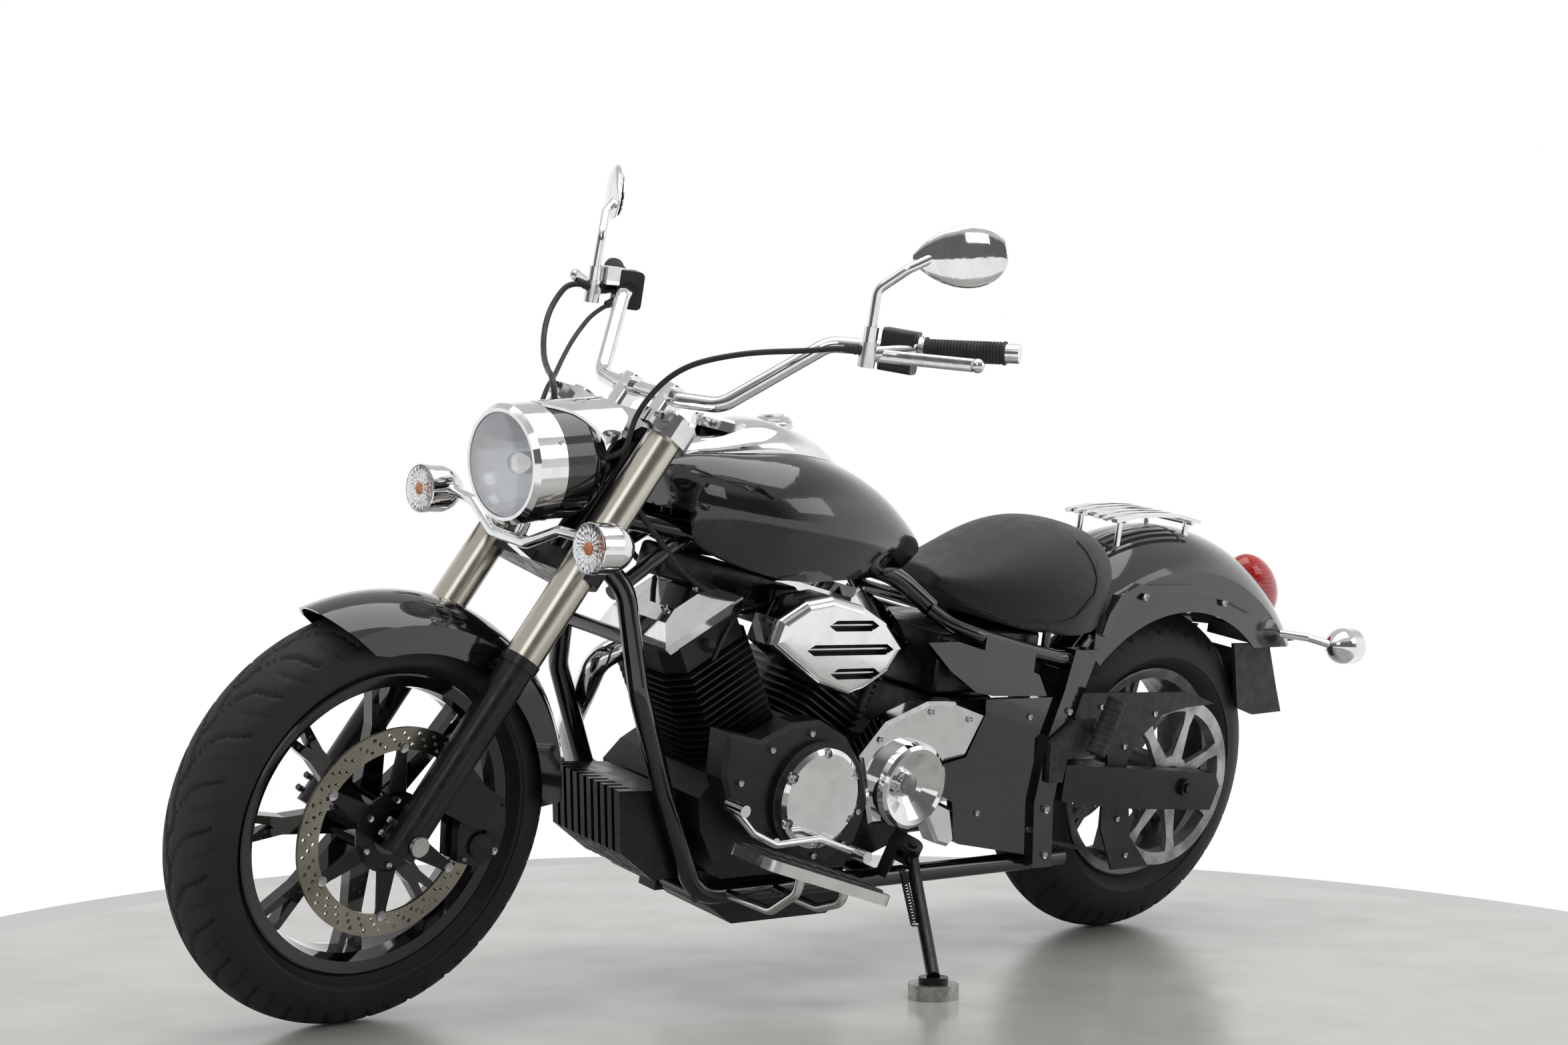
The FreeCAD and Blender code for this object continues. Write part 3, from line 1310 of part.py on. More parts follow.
def make_seat():
    stations = [
        (634, 78, 722, 706, 682, 72),
        (590, 94, 731, 700, 662, 86),
        (515, 120, 757, 700, 632, 110),
        (410, 150, 799, 700, 612, 138),
        (340, 158, 811, 700, 608, 146),
        (280, 152, 806, 705, 612, 138),
        (236, 130, 794, 715, 630, 116),
        (212, 96, 780, 725, 670, 86),
    ]
    behind = shifted(fused([fender_solid, fender_shape]), size("gap"), 0, size("gap"))
    saddle = hull(stations).cut(behind)
    return saddle.cut(tank_shape).cut(backbone_shape).cut(uprights_shape)


keep(shaped("seat", make_seat()), "chassis")
keep(shaped("rear_fender", fender_shape), "chassis")


def make_rack():
    # Bowed slats along the top, carried by cross bars on four posts
    crest = [(178, 816), (120, 826), (60, 830), (0, 830), (-64, 819)]
    slat = crest + [(ahead, height - 7) for ahead, height in crest[::-1]]
    shapes = []
    for inner in (8, 31, 54):
        for sign in (1, -1):
            low, high = sorted((sign * inner, sign * (inner + 13)))
            shapes.append(plate(slat, low, high))
    for ahead, height in ((150, 813), (-40, 814)):
        shapes.append(rod((ahead, -67, height), (ahead, 67, height), 5))
        for sign in (1, -1):
            shapes.append(rod((ahead, sign * 50, height), (ahead, sign * 50, height - 60), 6))
    return shaped("luggage_rack", fused(shapes).cut(fender_solid))


keep(make_rack(), "chassis")


def make_tail_light():
    # A teardrop dome on the fender's slope
    dome = Part.makeSphere(1)
    stretch = FreeCAD.Matrix()
    stretch.scale(80, 46, 56)
    dome = dome.transformGeometry(stretch)
    dome.rotate(Vector(0, 0, 0), Vector(0, 1, 0), -45)
    dome.translate(Vector(-333, 0, 676))
    return shaped("tail_light", dome.cut(fender_solid))


def make_rear_signals():
    sides = []
    for sign in (1, -1):
        stalk = tube([(-290, sign * 116, 606), (-330, sign * 160, 606), (-352, sign * 200, 600)], 8, 30)
        housing = bullet(size("rearSignalRadius"), 66)
        housing.rotate(Vector(0, 0, 0), Vector(0, 0, 1), 180)
        housing.translate(Vector(-411, sign * 205, 598))
        stalk = stalk.cut(fender_shape).cut(shifted(fender_shape, 0, sign * size("gap"), 0))
        sides.append(fused([stalk, housing]))
    return shaped("rear_signals", Part.makeCompound(sides))


def make_plate_bracket():
    # The flap behind the wheel, open towards the tyre, with a shelf up to the fender
    flap = plate([(-180, 582), (-220, 452), (-270, 437), (-360, 441), (-333, 492), (-294, 572),
                  (-300, 582)], -100, 100)
    shelf = plate([(-290, 572), (-290, 600), (-420, 600), (-420, 578)], -60, 60)
    loop = plate([(-325, 512), (-325, 480), (-380, 484), (-380, 494), (-340, 496), (-340, 512)], -6, 6)
    tyre_room = Part.makeCylinder(size("rearTyreRadius") + 10, 184,
                                  rear_axle_spot.sub(Vector(0, 92, 0)), Vector(0, 1, 0))
    inside = plate([(-190, 590), (-226, 462), (-268, 446), (-300, 470), (-306, 590)], -92, 92)
    whole = fused([flap.cut(inside), shelf, loop]).cut(tyre_room)
    behind = fender_solid.common(Part.makeBox(600, 300, 600, Vector(-600, -150, 500)))
    keep_in = whole.common(behind.fuse(Part.makeBox(500, 300, 182, Vector(-500, -150, 400))))
    keep_in = keep_in.cut(fender_shape).cut(shifted(fender_shape, 0, 0, -size("gap")))
    return shaped("plate_bracket", keep_in)


keep(make_tail_light(), "chassis")
keep(make_rear_signals(), "chassis")
keep(make_plate_bracket(), "chassis")


def make_side_covers():
    rail_side = size("seatRailHalf") + size("seatRailRadius")
    inside = size("uprightHalf") - size("uprightThickness") / 2
    upper = plate([(731, 611), (660, 612), (568, 590), (447, 550), (420, 511), (555, 514), (600, 522),
                   (667, 560)], rail_side + size("gap"), rail_side + 14)
    flange = plate([(580, 616), (450, 590), (450, 552), (580, 590)], 140, rail_side + 2)
    box = plate([(372, 504), (556, 504), (552, 478), (586, 402), (640, 392), (655, 345), (604, 322),
                 (586, 250), (575, 245), (372, 209)], inside + 1, inside + 15)
    left = Part.makeCompound([fused([upper, flange]), box]).cut(uprights_shape).cut(pulley_cover_shape)
    return both(left.cut(cradle_room))


cover_shape = make_side_covers()
keep(shaped("side_covers", cover_shape), "chassis")


def make_swingarm():
    inside = size("armInside")
    outside = size("armOutside")
    beam = plate([(340, 381), (-87, 345), (-104, 318), (-86, 272), (175, 290), (340, 313)],
                 inside, outside)
    upright = size("uprightHalf") - size("uprightThickness") / 2 - size("gap")
    gusset = plate([(200, 320), (340, 320), (340, 374), (200, 370)], 112, inside)
    gusset_front = plate([(340, 320), (392, 326), (392, 366), (340, 374)], 112, upright)
    left = fused([beam, gusset, gusset_front])
    cross = rod((372, -upright, 346), (372, upright, 346), 22)
    axle_half = outside + 14
    axle = Part.makeCylinder(size("axleRadius"), 2 * axle_half, Vector(0, -axle_half, 0), Vector(0, 1, 0))
    nuts = [Part.makeCylinder(17, 9, Vector(0, outside, 0), Vector(0, 1, 0)),
            Part.makeCylinder(17, 9, Vector(0, -outside - 9, 0), Vector(0, 1, 0))]
    left_end = size("pulleyPlace") + size("pulleyWidth") / 2 + size("gap")
    right_end = size("rearHubRight") + size("gap")
    spacers = [Part.makeCylinder(16, inside - left_end, Vector(0, left_end, 0), Vector(0, 1, 0)),
               Part.makeCylinder(16, inside - right_end, Vector(0, -inside, 0), Vector(0, 1, 0))]
    turning = [moved(shape, rear_hub) for shape in [axle] + nuts + spacers]
    return fused([left, mirrored(left), cross] + turning)


swingarm_shape = make_swingarm()
keep(shaped("swingarm", swingarm_shape), "chassis")


def make_belt():
    # A closed band round the rear pulley and the gearbox pulley
    rear = rear_axle_spot
    front = Vector(size("outputAhead"), 0, size("outputHeight"))
    thick = size("beltThickness")
    big = size("pulleyRadius") - 5
    small = size("outputRadius")
    base = size("pulleyPlace") + size("pulleyWidth") / 2 - 9 - size("beltWidth")
    run = front.sub(rear)
    slope = math.atan2(run.z, run.x)
    spread = math.acos((big - small) / run.Length)

    def spot(centre, radius, direction):
        return Vector(centre.x + radius * math.cos(direction), base,
                      centre.z + radius * math.sin(direction))

    def loop(extra):
        upper = (spot(rear, big + extra, slope + spread), spot(front, small + extra, slope + spread))
        lower = (spot(front, small + extra, slope - spread), spot(rear, big + extra, slope - spread))
        nose = spot(front, small + extra, slope)
        heel = spot(rear, big + extra, slope + math.pi)
        edges = [
            Part.LineSegment(*upper).toShape(),
            Part.Arc(upper[1], nose, lower[0]).toShape(),
            Part.LineSegment(*lower).toShape(),
            Part.Arc(lower[1], heel, upper[0]).toShape(),
        ]
        return Part.Face(Part.Wire(edges))

    band = loop(thick).cut(loop(0))
    return shaped("drive_belt", band.extrude(Vector(0, size("beltWidth"), 0)))


keep(make_belt(), "chassis")


def make_belt_guards():
    outside = size("armInside") - size("gap")
    upper = plate([(318, 507), (136, 503), (-5, 501), (-86, 476), (-3, 471), (61, 459), (117, 416),
                   (143, 376), (143, 352), (193, 353), (203, 385), (318, 468)], outside - 5, outside)
    lower = plate([(199, 302), (126, 302), (105, 225), (40, 163), (143, 162), (190, 243)],
                  outside - 5, outside)
    return shaped("belt_guards", Part.makeCompound([upper, lower]).cut(uprights_shape))


keep(make_belt_guards(), "chassis")


def make_pegs():
    outside = size("uprightHalf") + size("uprightThickness") / 2
    hanger = plate([(396, 424), (386, 350), (350, 350), (346, 392), (290, 396), (262, 440),
                    (285, 466), (340, 462)], outside, outside + 9)
    pivot = rod((282, outside, 446), (282, outside + 40, 446), 9)
    peg = rod((304, outside + 36, 412), (268, outside + 36, 504), 17)
    return shaped("passenger_pegs", both(fused([hanger, pivot, peg])))


keep(make_pegs(), "chassis")


def make_boards():
    length = size("boardLength")
    wide = size("boardWidth")
    board = Part.makeBox(length, wide, 18)
    corners = [edge for edge in board.Edges if abs(edge.tangentAt(edge.FirstParameter).z) > 0.9]
    board = board.makeFillet(26, corners)
    board.rotate(Vector(0, 0, 0), Vector(0, 1, 0), -17)
    board.translate(Vector(912, 250, 219))
    brackets = [
        tube([(960, 108, 186), (960, 240, 188), (960, 292, 212), (960, 298, 250)], 8, 24),
        tube([(1058, 104, 184), (1058, 236, 190), (1058, 292, 236), (1058, 298, 280)], 8, 24),
    ]
    left = fused([board] + [bracket.cut(board) for bracket in brackets])
    return both(left).cut(cradle_room).cut(crankcase_shape)


keep(shaped("floorboards", make_boards()), "chassis")


def make_foot_controls():
    arm = tube([(1160, 228, 366), (1109, 228, 318), (1060, 228, 296), (966, 228, 300),
                (884, 228, 272)], 6, 30)
    heel = rod((886, 219, 272), (886, 262, 272), 10)
    toe = rod((1160, 219, 366), (1160, 262, 366), 10)
    shaft = rod((1060, size("clutchFace") - 8, 300), (1060, 230, 300), 8).cut(clutch_shape)
    lever = fused([arm, heel, toe, shaft])
    pedal = tube([(1010, -222, 276), (1090, -224, 312), (1180, -224, 360)], 7, 40)
    pad_shape = Part.makeBox(50, 46, 10, Vector(1160, -262, 358))
    pivot = rod((1010, -size("caseHalf"), 276), (1010, -226, 276), 8).cut(crankcase_shape)
    return shaped("foot_controls", Part.makeCompound([lever, fused([pedal, pad_shape, pivot])]))


keep(make_foot_controls(), "chassis")


def make_regulator():
    # A finned block held between the frame's down tubes
    half = size("cradleHalf") - size("frameTubeRadius") - size("gap")
    block = plate([(1282, 361), (1170, 356), (1122, 211), (1192, 208), (1264, 258)], -half, half)
    grooves = []
    count = 9
    for step in range(count):
        place = -half + (step + 1) * 2 * half / (count + 1)
        grooves.append(plate([(1300, 380), (1250, 370), (1236, 270), (1180, 222), (1190, 200),
                              (1290, 240)], place - 4, place + 4))
    return shaped("regulator", block.cut(Part.makeCompound(grooves)).cut(cradle_room))


keep(make_regulator(), "chassis")


def make_exhaust():
    pipe = size("headerRadius")
    front = tube([(1190, -50, 566), (1238, -62, 540), (1216, -120, 470), (1196, -178, 400),
                  (1130, -190, 260), (1000, -190, 228), (700, -205, 230)], pipe, 60)
    rear = tube([(734, -50, 566), (690, -62, 541), (680, -130, 490), (700, -185, 400),
                 (690, -190, 300), (640, -215, 236)], pipe, 40)
    muffler = rod((650, -226, 232), (-230, -236, 262), size("mufflerRadius"))
    tip = rod((-222, -236, 262), (-236, -236, 262.5), size("mufflerRadius") - 8)
    outside = size("uprightHalf") + size("uprightThickness") / 2
    hanger = rod((380, -outside, 250), (380, -226, 250), 10)
    whole = fused([front, rear, muffler, hanger]).cut(tip)
    for shape in jug_shapes:
        whole = whole.cut(shape)
    return whole.cut(uprights_shape)


keep(shaped("exhaust", make_exhaust()), "chassis")


def make_rear_caliper():
    place = -size("rearDiscPlace")
    slot_half = size("discSlot") / 2
    low = place - 22
    block = plate([(84, 392), (150, 398), (162, 452), (112, 472), (66, 440)], low, place + 20)
    slot = plate([(30, 360), (125, 360), (140, 420), (100, 452), (30, 480)],
                 place - slot_half, place + slot_half)
    hanger = plate([(60, 330), (150, 340), (162, 452), (112, 472), (66, 440)],
                   -size("armInside"), low)
    return shaped("rear_caliper", fused([block.cut(slot), hanger]))


keep(make_rear_caliper(), "chassis")


# How the motorcycle stands: tyres on the floor, leaned over, front wheel turned
turned = Rotation(steer_axis, size("steerAngle"))
steer = Placement(axis_spot.sub(turned.multVec(axis_spot)), turned)


def tyre_drop(radius, width, axle):
    # How far below its centre a leaning tyre reaches
    tilt = math.asin(abs(axle.z))
    return (radius - width / 2) * math.cos(tilt) + width / 2


def standing():
    front_axle = steer.multVec(front_axle_spot)
    lean = Rotation(Vector(1, 0, 0), -size("leanAngle"))
    pitch = 0.0
    for _ in range(20):
        posed = lean.multiply(Rotation(Vector(0, 1, 0), pitch))
        rear_need = tyre_drop(size("rearTyreRadius"), size("rearTyreWidth"),
                              posed.multVec(Vector(0, 1, 0)))
        front_need = tyre_drop(size("frontTyreRadius"), size("frontTyreWidth"),
                               posed.multVec(turned.multVec(Vector(0, 1, 0))))
        lift = rear_need - posed.multVec(rear_axle_spot).z
        short = front_need - posed.multVec(front_axle).z - lift
        pitch -= math.degrees(short / size("wheelbase"))
    return Placement(Vector(0, 0, lift), posed)


chassis = standing()
frames = {
    "chassis": chassis,
    "steering": chassis.multiply(steer),
    "fork": chassis.multiply(steer).multiply(fork_frame),
    "front_hub": chassis.multiply(steer).multiply(front_hub),
    "front_wheel": chassis.multiply(steer).multiply(front_hub),
    "rear_wheel": chassis.multiply(rear_hub),
    "front_jug": chassis.multiply(jug_place(1)),
    "rear_jug": chassis.multiply(jug_place(-1)),
    "stand": chassis,
    "puck": Placement(Vector(size("standAhead"), size("standReach"), 0), Rotation()),
}


# Side stand, set from its bracket down to the puck on the floor
STAND_PIVOT = Vector(707, 178, 246)
SHOE_DEPTH = 10
foot_floor = Vector(size("standAhead"), size("standReach"), size("puckHeight") + SHOE_DEPTH + size("gap"))
foot = chassis.inverse().multVec(foot_floor)
leg_down = foot.sub(STAND_PIVOT).normalize()
leg_folded = Vector(-0.97, 0.22, 0.08).normalize()
stand_axis = leg_down.cross(leg_folded).normalize()
stand_swing = math.degrees(leg_down.getAngle(leg_folded))
EYE_HALF = 7
EAR_REACH = 18


def stand_place(towards):
    # The pivot's frame: Z along the hinge, X towards the given direction
    aside = Vector(towards).sub(Vector(stand_axis).multiply(towards.dot(stand_axis))).normalize()
    across = stand_axis.cross(aside)
    return Placement(STAND_PIVOT, Rotation(aside, across, stand_axis, "ZXY"))


def make_stand():
    eye = Part.makeCylinder(size("standEyeRadius"), 2 * EYE_HALF, Vector(0, 0, -EYE_HALF))
    neck = Part.makeBox(32, 20, 2 * EYE_HALF, Vector(0, -10, -EYE_HALF))
    hole = Part.makeCylinder(size("standBolt") + size("axleClearance"), 60, Vector(0, 0, -30))
    end = moved(fused([eye, neck]).cut(hole), stand_place(leg_down))
    start = STAND_PIVOT.add(Vector(leg_down).multiply(26))
    leg = rod(tuple(start), tuple(foot), 11)
    shoe = Part.makeCylinder(24, SHOE_DEPTH, Vector(foot_floor.x, foot_floor.y,
                                                    size("puckHeight") + size("gap") / 3))
    floor_cut = Part.makeBox(400, 400, 60, Vector(size("standAhead") - 200, size("standReach") - 200,
                                                  size("puckHeight") + size("gap") / 3 - 60))
    shapes = [leg, end, moved(shoe, chassis.inverse())]
    return fused(shapes).cut(moved(floor_cut, chassis.inverse()))


keep(shaped("side_stand", make_stand()), "stand")
keep(make_cylinder("stand_puck", "Sizes.puckRadius", "Sizes.puckHeight", "0"), "puck")


def make_stand_bracket():
    # A bolt through the stand's eye, held by two ears and a post on the cradle's left tube
    eye = size("standEyeRadius")
    inner = EYE_HALF + size("gap")
    shapes = [Part.makeCylinder(size("standBolt"), 44, Vector(0, 0, -22))]
    for low in (-EAR_REACH, inner):
        shapes.append(Part.makeCylinder(eye, EAR_REACH - inner, Vector(0, 0, low)))
        shapes.append(Part.makeBox(40, 2 * eye, EAR_REACH - inner, Vector(0, -eye, low)))
    shapes.append(Part.makeBox(20, 2 * eye, 66 + EAR_REACH, Vector(20, -eye, -66)))
    bracket = moved(fused(shapes), stand_place(Vector(0.56, -0.77, 0.31)))
    return bracket.cut(cradle_room)


keep(shaped("stand_bracket", make_stand_bracket()), "chassis")

# Every piece goes to its place, and the whole is centred over the origin
doc.recompute()
own_places = [piece.Placement for piece, body in pieces]
for (piece, body), own in zip(pieces, own_places):
    piece.Placement = frames[body].multiply(own)
doc.recompute()
box = FreeCAD.BoundBox()
for piece, body in pieces:
    box.add(piece.Shape.optimalBoundingBox())
centre = Placement(Vector(-box.Center.x, -box.Center.y, -box.ZMin), Rotation())
for (piece, body), own in zip(pieces, own_places):
    piece.Placement = centre.multiply(frames[body]).multiply(own)
doc.recompute()

for item in doc.Objects:
    if "Invalid" in item.State or "Error" in item.State:
        raise RuntimeError(f"{item.Label} failed: {item.State}")
os.makedirs("parts", exist_ok=True)
for piece, body in pieces:
    shape = piece.Shape
    if shape.isNull() or not shape.isValid():
        raise RuntimeError(f"{piece.Label} has no valid shape")
    shape.exportStep(f"parts/{piece.Label}.step")
print("pieces", len(pieces))
print("length, width, height", box.XLength, box.YLength, box.ZLength, "lowest", box.ZMin)
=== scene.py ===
import json
import math
import bmesh
import bpy
from mathutils import Matrix, Quaternion, Vector


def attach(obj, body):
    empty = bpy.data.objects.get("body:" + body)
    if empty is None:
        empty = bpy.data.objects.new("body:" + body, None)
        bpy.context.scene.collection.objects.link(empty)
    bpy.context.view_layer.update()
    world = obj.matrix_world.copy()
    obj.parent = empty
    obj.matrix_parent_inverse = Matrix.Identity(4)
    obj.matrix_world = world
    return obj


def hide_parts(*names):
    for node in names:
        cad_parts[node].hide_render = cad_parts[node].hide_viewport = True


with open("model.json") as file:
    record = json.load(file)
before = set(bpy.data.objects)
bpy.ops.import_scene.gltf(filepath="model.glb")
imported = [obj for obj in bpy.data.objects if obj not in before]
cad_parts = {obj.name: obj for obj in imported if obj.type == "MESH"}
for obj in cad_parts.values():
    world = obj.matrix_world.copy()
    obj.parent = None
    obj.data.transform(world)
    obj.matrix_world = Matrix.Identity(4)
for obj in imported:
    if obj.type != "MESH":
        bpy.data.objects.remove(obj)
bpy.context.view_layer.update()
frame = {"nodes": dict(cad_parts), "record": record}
print("frame loaded")

mm = 0.001
joints = {joint["name"]: joint for joint in frame["record"]["behaviour"]["joints"]}


# Places. Pieces are drawn in millimetres on the upright motorcycle, and a place puts them on
# the leaning one
def placeOf(turn, jointName, jointSpot):
    turned = Quaternion(turn).to_matrix().to_4x4()
    here = Vector(joints[jointName]["pos_m"])
    return Matrix.Translation(here - turned.to_3x3() @ (Vector(jointSpot) * mm)) @ turned


def moved(spot):
    return Matrix.Translation(Vector(spot) * mm)


def turnedBy(degrees, axis):
    return Matrix.Rotation(math.radians(degrees), 4, axis)


def aimed(direction):
    # A turn that takes +X to the direction
    return direction.to_track_quat("X", "Z").to_matrix().to_4x4()


def towards(direction):
    # A turn that takes +Z to the direction
    return Vector(direction).normalized().to_track_quat("Z", "Y").to_matrix().to_4x4()


def onSide(spot, sign):
    # A spot of the left, on the left (1) or on the right (-1)
    return Vector((spot[0], spot[1] * sign, spot[2]))


def linked(name, data):
    made = bpy.data.objects.new(name, data)
    bpy.context.scene.collection.objects.link(made)
    return made


bothSides = ((1, "Left"), (-1, "Right"))

leanTurn = (0.9957968, -0.0915885, 0.0004923, -0.0000453)
steerTurn = (0.9933063, -0.1111224, 0.0033796, 0.0313513)
forkTurn = (0.9557589, -0.0981762, -0.2705436, 0.0607663)
chassisPlace = placeOf(leanTurn, "rear_wheel_spin", (0, 0, 322))
steerPlace = placeOf(steerTurn, "front_wheel_spin", (1685, 0, 320))
forkPlace = placeOf(forkTurn, "front_wheel_spin", (0, 0, 0))
frontWheelPlace = placeOf(steerTurn, "front_wheel_spin", (0, 0, 0))
rearWheelPlace = placeOf(leanTurn, "rear_wheel_spin", (0, 0, 0))
wheelPlaces = {"front": frontWheelPlace, "rear": rearWheelPlace}
lampPlace = steerPlace @ moved((1521, 0, 860)) @ turnedBy(5.5, "Y")
onChassis = ("chassis", chassisPlace)
onSteering = ("steering", steerPlace)

# Camera, from the photograph
viewpoint = {
    "spot": (3.498795, 3.145718, 0.682213),   # from the floor under the rear axle, metres
    "yaw": -2.2776062,
    "pitch": 0.0219808,
    "roll": 0.0116491,
    "lens": 54.04,
}


def addCamera():
    yaw, pitch, roll = viewpoint["yaw"], viewpoint["pitch"], viewpoint["roll"]
    ahead = Vector((math.cos(pitch) * math.cos(yaw), math.cos(pitch) * math.sin(yaw), math.sin(pitch)))
    right = ahead.cross(Vector((0, 0, 1))).normalized()
    up = right.cross(ahead)
    turnedRight = right * math.cos(roll) + up * math.sin(roll)
    turnedUp = up * math.cos(roll) - right * math.sin(roll)
    data = bpy.data.cameras.new("photoCamera")
    data.lens = viewpoint["lens"]
    data.sensor_width = 36
    data.clip_end = 60
    camera = linked("photoCamera", data)
    floorSpot = chassisPlace.translation
    spot = Vector(viewpoint["spot"]) + Vector((floorSpot.x, floorSpot.y, 0))
    turned = Matrix((turnedRight, turnedUp, -ahead)).transposed().to_4x4()
    camera.matrix_world = Matrix.Translation(spot) @ turned
    bpy.context.scene.camera = camera


addCamera()
print("camera placed")


# Shader maths: a wrapped socket, so that masks and mixes read as sums
class Wire:
    def __init__(self, finish, socket):
        self.finish = finish
        self.socket = socket

    def sum(self, operation, first, second=0.0):
        node = self.finish.node("ShaderNodeMath", {"operation": operation}, {0: first, 1: second})
        return Wire(self.finish, node.outputs[0])

    def __add__(self, other):
        return self.sum("ADD", self, other)

    def __radd__(self, other):
        return self.sum("ADD", other, self)

    def __sub__(self, other):
        return self.sum("SUBTRACT", self, other)

    def __rsub__(self, other):
        return self.sum("SUBTRACT", other, self)

    def __mul__(self, other):
        return self.sum("MULTIPLY", self, other)

    def __rmul__(self, other):
        return self.sum("MULTIPLY", other, self)

    def called(self, operation):
        return self.sum(operation, self)

    def clamped(self):
        return self.sum("MINIMUM", self.sum("MAXIMUM", self, 0.0), 1.0)


# A finish: one material, its nodes made by one method
class Finish:
    def __init__(self, name, color, roughness, metallic=0.0, **plain):
        self.material = bpy.data.materials.new(name)
        self.material.use_nodes = True
        self.tree = self.material.node_tree
        self.shader = next(node for node in self.tree.nodes if node.type == "BSDF_PRINCIPLED")
        self.shader.inputs["Base Color"].default_value = (*color, 1)
        self.shader.inputs["Roughness"].default_value = roughness
        self.shader.inputs["Metallic"].default_value = metallic
        for words, value in plain.items():
            self.shader.inputs[words.replace("_", " ")].default_value = value
        self.material.diffuse_color = (*color, 1)
        self.spots = self.node("ShaderNodeTexCoord").outputs["Object"]
        self.bump = None

    def node(self, kind, settings=None, values=None):
        made = self.tree.nodes.new(kind)
        for words, value in (settings or {}).items():
            if words == "stops":
                ramp = made.color_ramp
                while len(ramp.elements) < len(value):
                    ramp.elements.new(0.5)
                for element, (place, color) in zip(ramp.elements, value):
                    element.position = place
                    element.color = (*color, 1)
            else:
                setattr(made, words, value)
        for words, value in (values or {}).items():
            self.feed(made.inputs[words], value)
        return made

    def feed(self, socket, value):
        if isinstance(value, Wire):
            self.tree.links.new(value.socket, socket)
        elif isinstance(value, bpy.types.NodeSocket):
            self.tree.links.new(value, socket)
        else:
            socket.default_value = value

    def noise(self, scale, detail=3.0, roughness=0.5, stretch=None):
        spots = self.spots
        if stretch:
            spots = self.node("ShaderNodeMapping", None, {"Vector": spots, "Scale": stretch}).outputs[0]
        made = self.node("ShaderNodeTexNoise", None, {"Vector": spots, "Scale": scale, "Detail": detail,
                                                      "Roughness": roughness})
        return Wire(self, made.outputs[0])

    def cellEdges(self, scale):
        made = self.node("ShaderNodeTexVoronoi", {"feature": "DISTANCE_TO_EDGE"},
                         {"Vector": self.spots, "Scale": scale})
        return Wire(self, made.outputs["Distance"])

    def ranged(self, value, low, high, bottom, top):
        made = self.node("ShaderNodeMapRange", {"interpolation_type": "SMOOTHSTEP"},
                         {0: value, 1: low, 2: high, 3: bottom, 4: top})
        return Wire(self, made.outputs[0])

    def colored(self, mask, low, high):
        made = self.node("ShaderNodeMix", {"data_type": "RGBA"}, {0: mask, 6: (*low, 1), 7: (*high, 1)})
        self.feed(self.shader.inputs["Base Color"], made.outputs[2])

    def rough(self, value):
        self.feed(self.shader.inputs["Roughness"], value)

    def raised(self, height, strength, distance):
        values = {"Height": height, "Strength": strength, "Distance": distance}
        if self.bump:
            values["Normal"] = self.bump.outputs[0]
        self.bump = self.node("ShaderNodeBump", None, values)
        self.feed(self.shader.inputs["Normal"], self.bump.outputs[0])

    def reach(self, place, turned):
        # Object coordinates read in a piece's own frame
        made = self.node("ShaderNodeMapping", {"vector_type": "TEXTURE"},
                         {"Vector": self.spots, "Location": place, "Rotation": turned})
        self.spots = made.outputs[0]

    def parts(self):
        made = self.node("ShaderNodeSeparateXYZ", None, {0: self.spots})
        return [Wire(self, socket) for socket in made.outputs]

    def axleRadius(self):
        # How far a point lies from the wheel's axle
        across, _, up = self.parts()
        return (across * across + up * up).called("SQRT")


def glossPaint(name, color, dust):
    # Deep gloss paint with a faint orange peel and a little dust
    paint = Finish(name, color, 0.09, 0.0, Coat_Weight=0.7, Coat_Roughness=0.03)
    haze = paint.noise(6, 2)
    lighter = tuple(min(1, value + dust) for value in color)
    paint.colored(paint.ranged(haze, 0.35, 0.75, 0, 1), color, lighter)
    paint.rough(paint.ranged(paint.noise(28, 2), 0.3, 0.7, 0.06, 0.13))
    paint.raised(paint.noise(420, 1), 0.02, 0.0004)
    return paint.material


def satinPaint(name, color, roughness, grain):
    # Powder coat: fine grain, a duller patch here and there
    paint = Finish(name, color, roughness, 0.0, Specular_IOR_Level=0.36)
    lighter = tuple(value * 1.6 + 0.001 for value in color)
    paint.colored(paint.ranged(paint.noise(14, 2), 0.4, 0.8, 0, 1), color, lighter)
    paint.rough(paint.ranged(paint.noise(45, 1), 0.3, 0.7, roughness - 0.07, roughness + 0.1))
    paint.raised(paint.noise(grain, 1), 0.18, 0.0006)
    return paint.material


def castMetal(name, color, roughness, metallic):
    # Sand cast and painted: pebbled. Its tone varies at random, and it is darker in the pebbles' low spots
    # and lighter on their tops, a painted shade in the hollows
    cast = Finish(name, color, roughness, metallic)
    pebbles = cast.noise(330, 2, 0.6)
    darker = tuple(value * 0.55 for value in color)
    lighter = tuple(value * 1.5 + 0.003 for value in color)
    # painted shade: the pebbles' low spots, which the bump presses in, take the darker colour
    cast.colored(cast.ranged(cast.noise(22, 2) * 0.6 + pebbles * 0.4, 0.32, 0.68, 0, 1), darker, lighter)
    cast.rough(cast.ranged(pebbles, 0.3, 0.7, roughness - 0.08, roughness + 0.12))
    cast.raised(pebbles, 0.35, 0.0008)
    return cast.material


def plated(name, color, roughness, cloud=0.05, metallic=1.0):
    # Chrome or polished metal with faint wipe marks
    metal = Finish(name, color, roughness, metallic)
    wipes = metal.noise(18, 2, 0.6, (1, 3, 1))
    duller = tuple(value * 0.86 for value in color)
    metal.colored(metal.ranged(wipes, 0.35, 0.8, 0, 1), color, duller)
    metal.rough(metal.ranged(metal.noise(60, 2), 0.35, 0.75, roughness, roughness + cloud))
    return metal.material


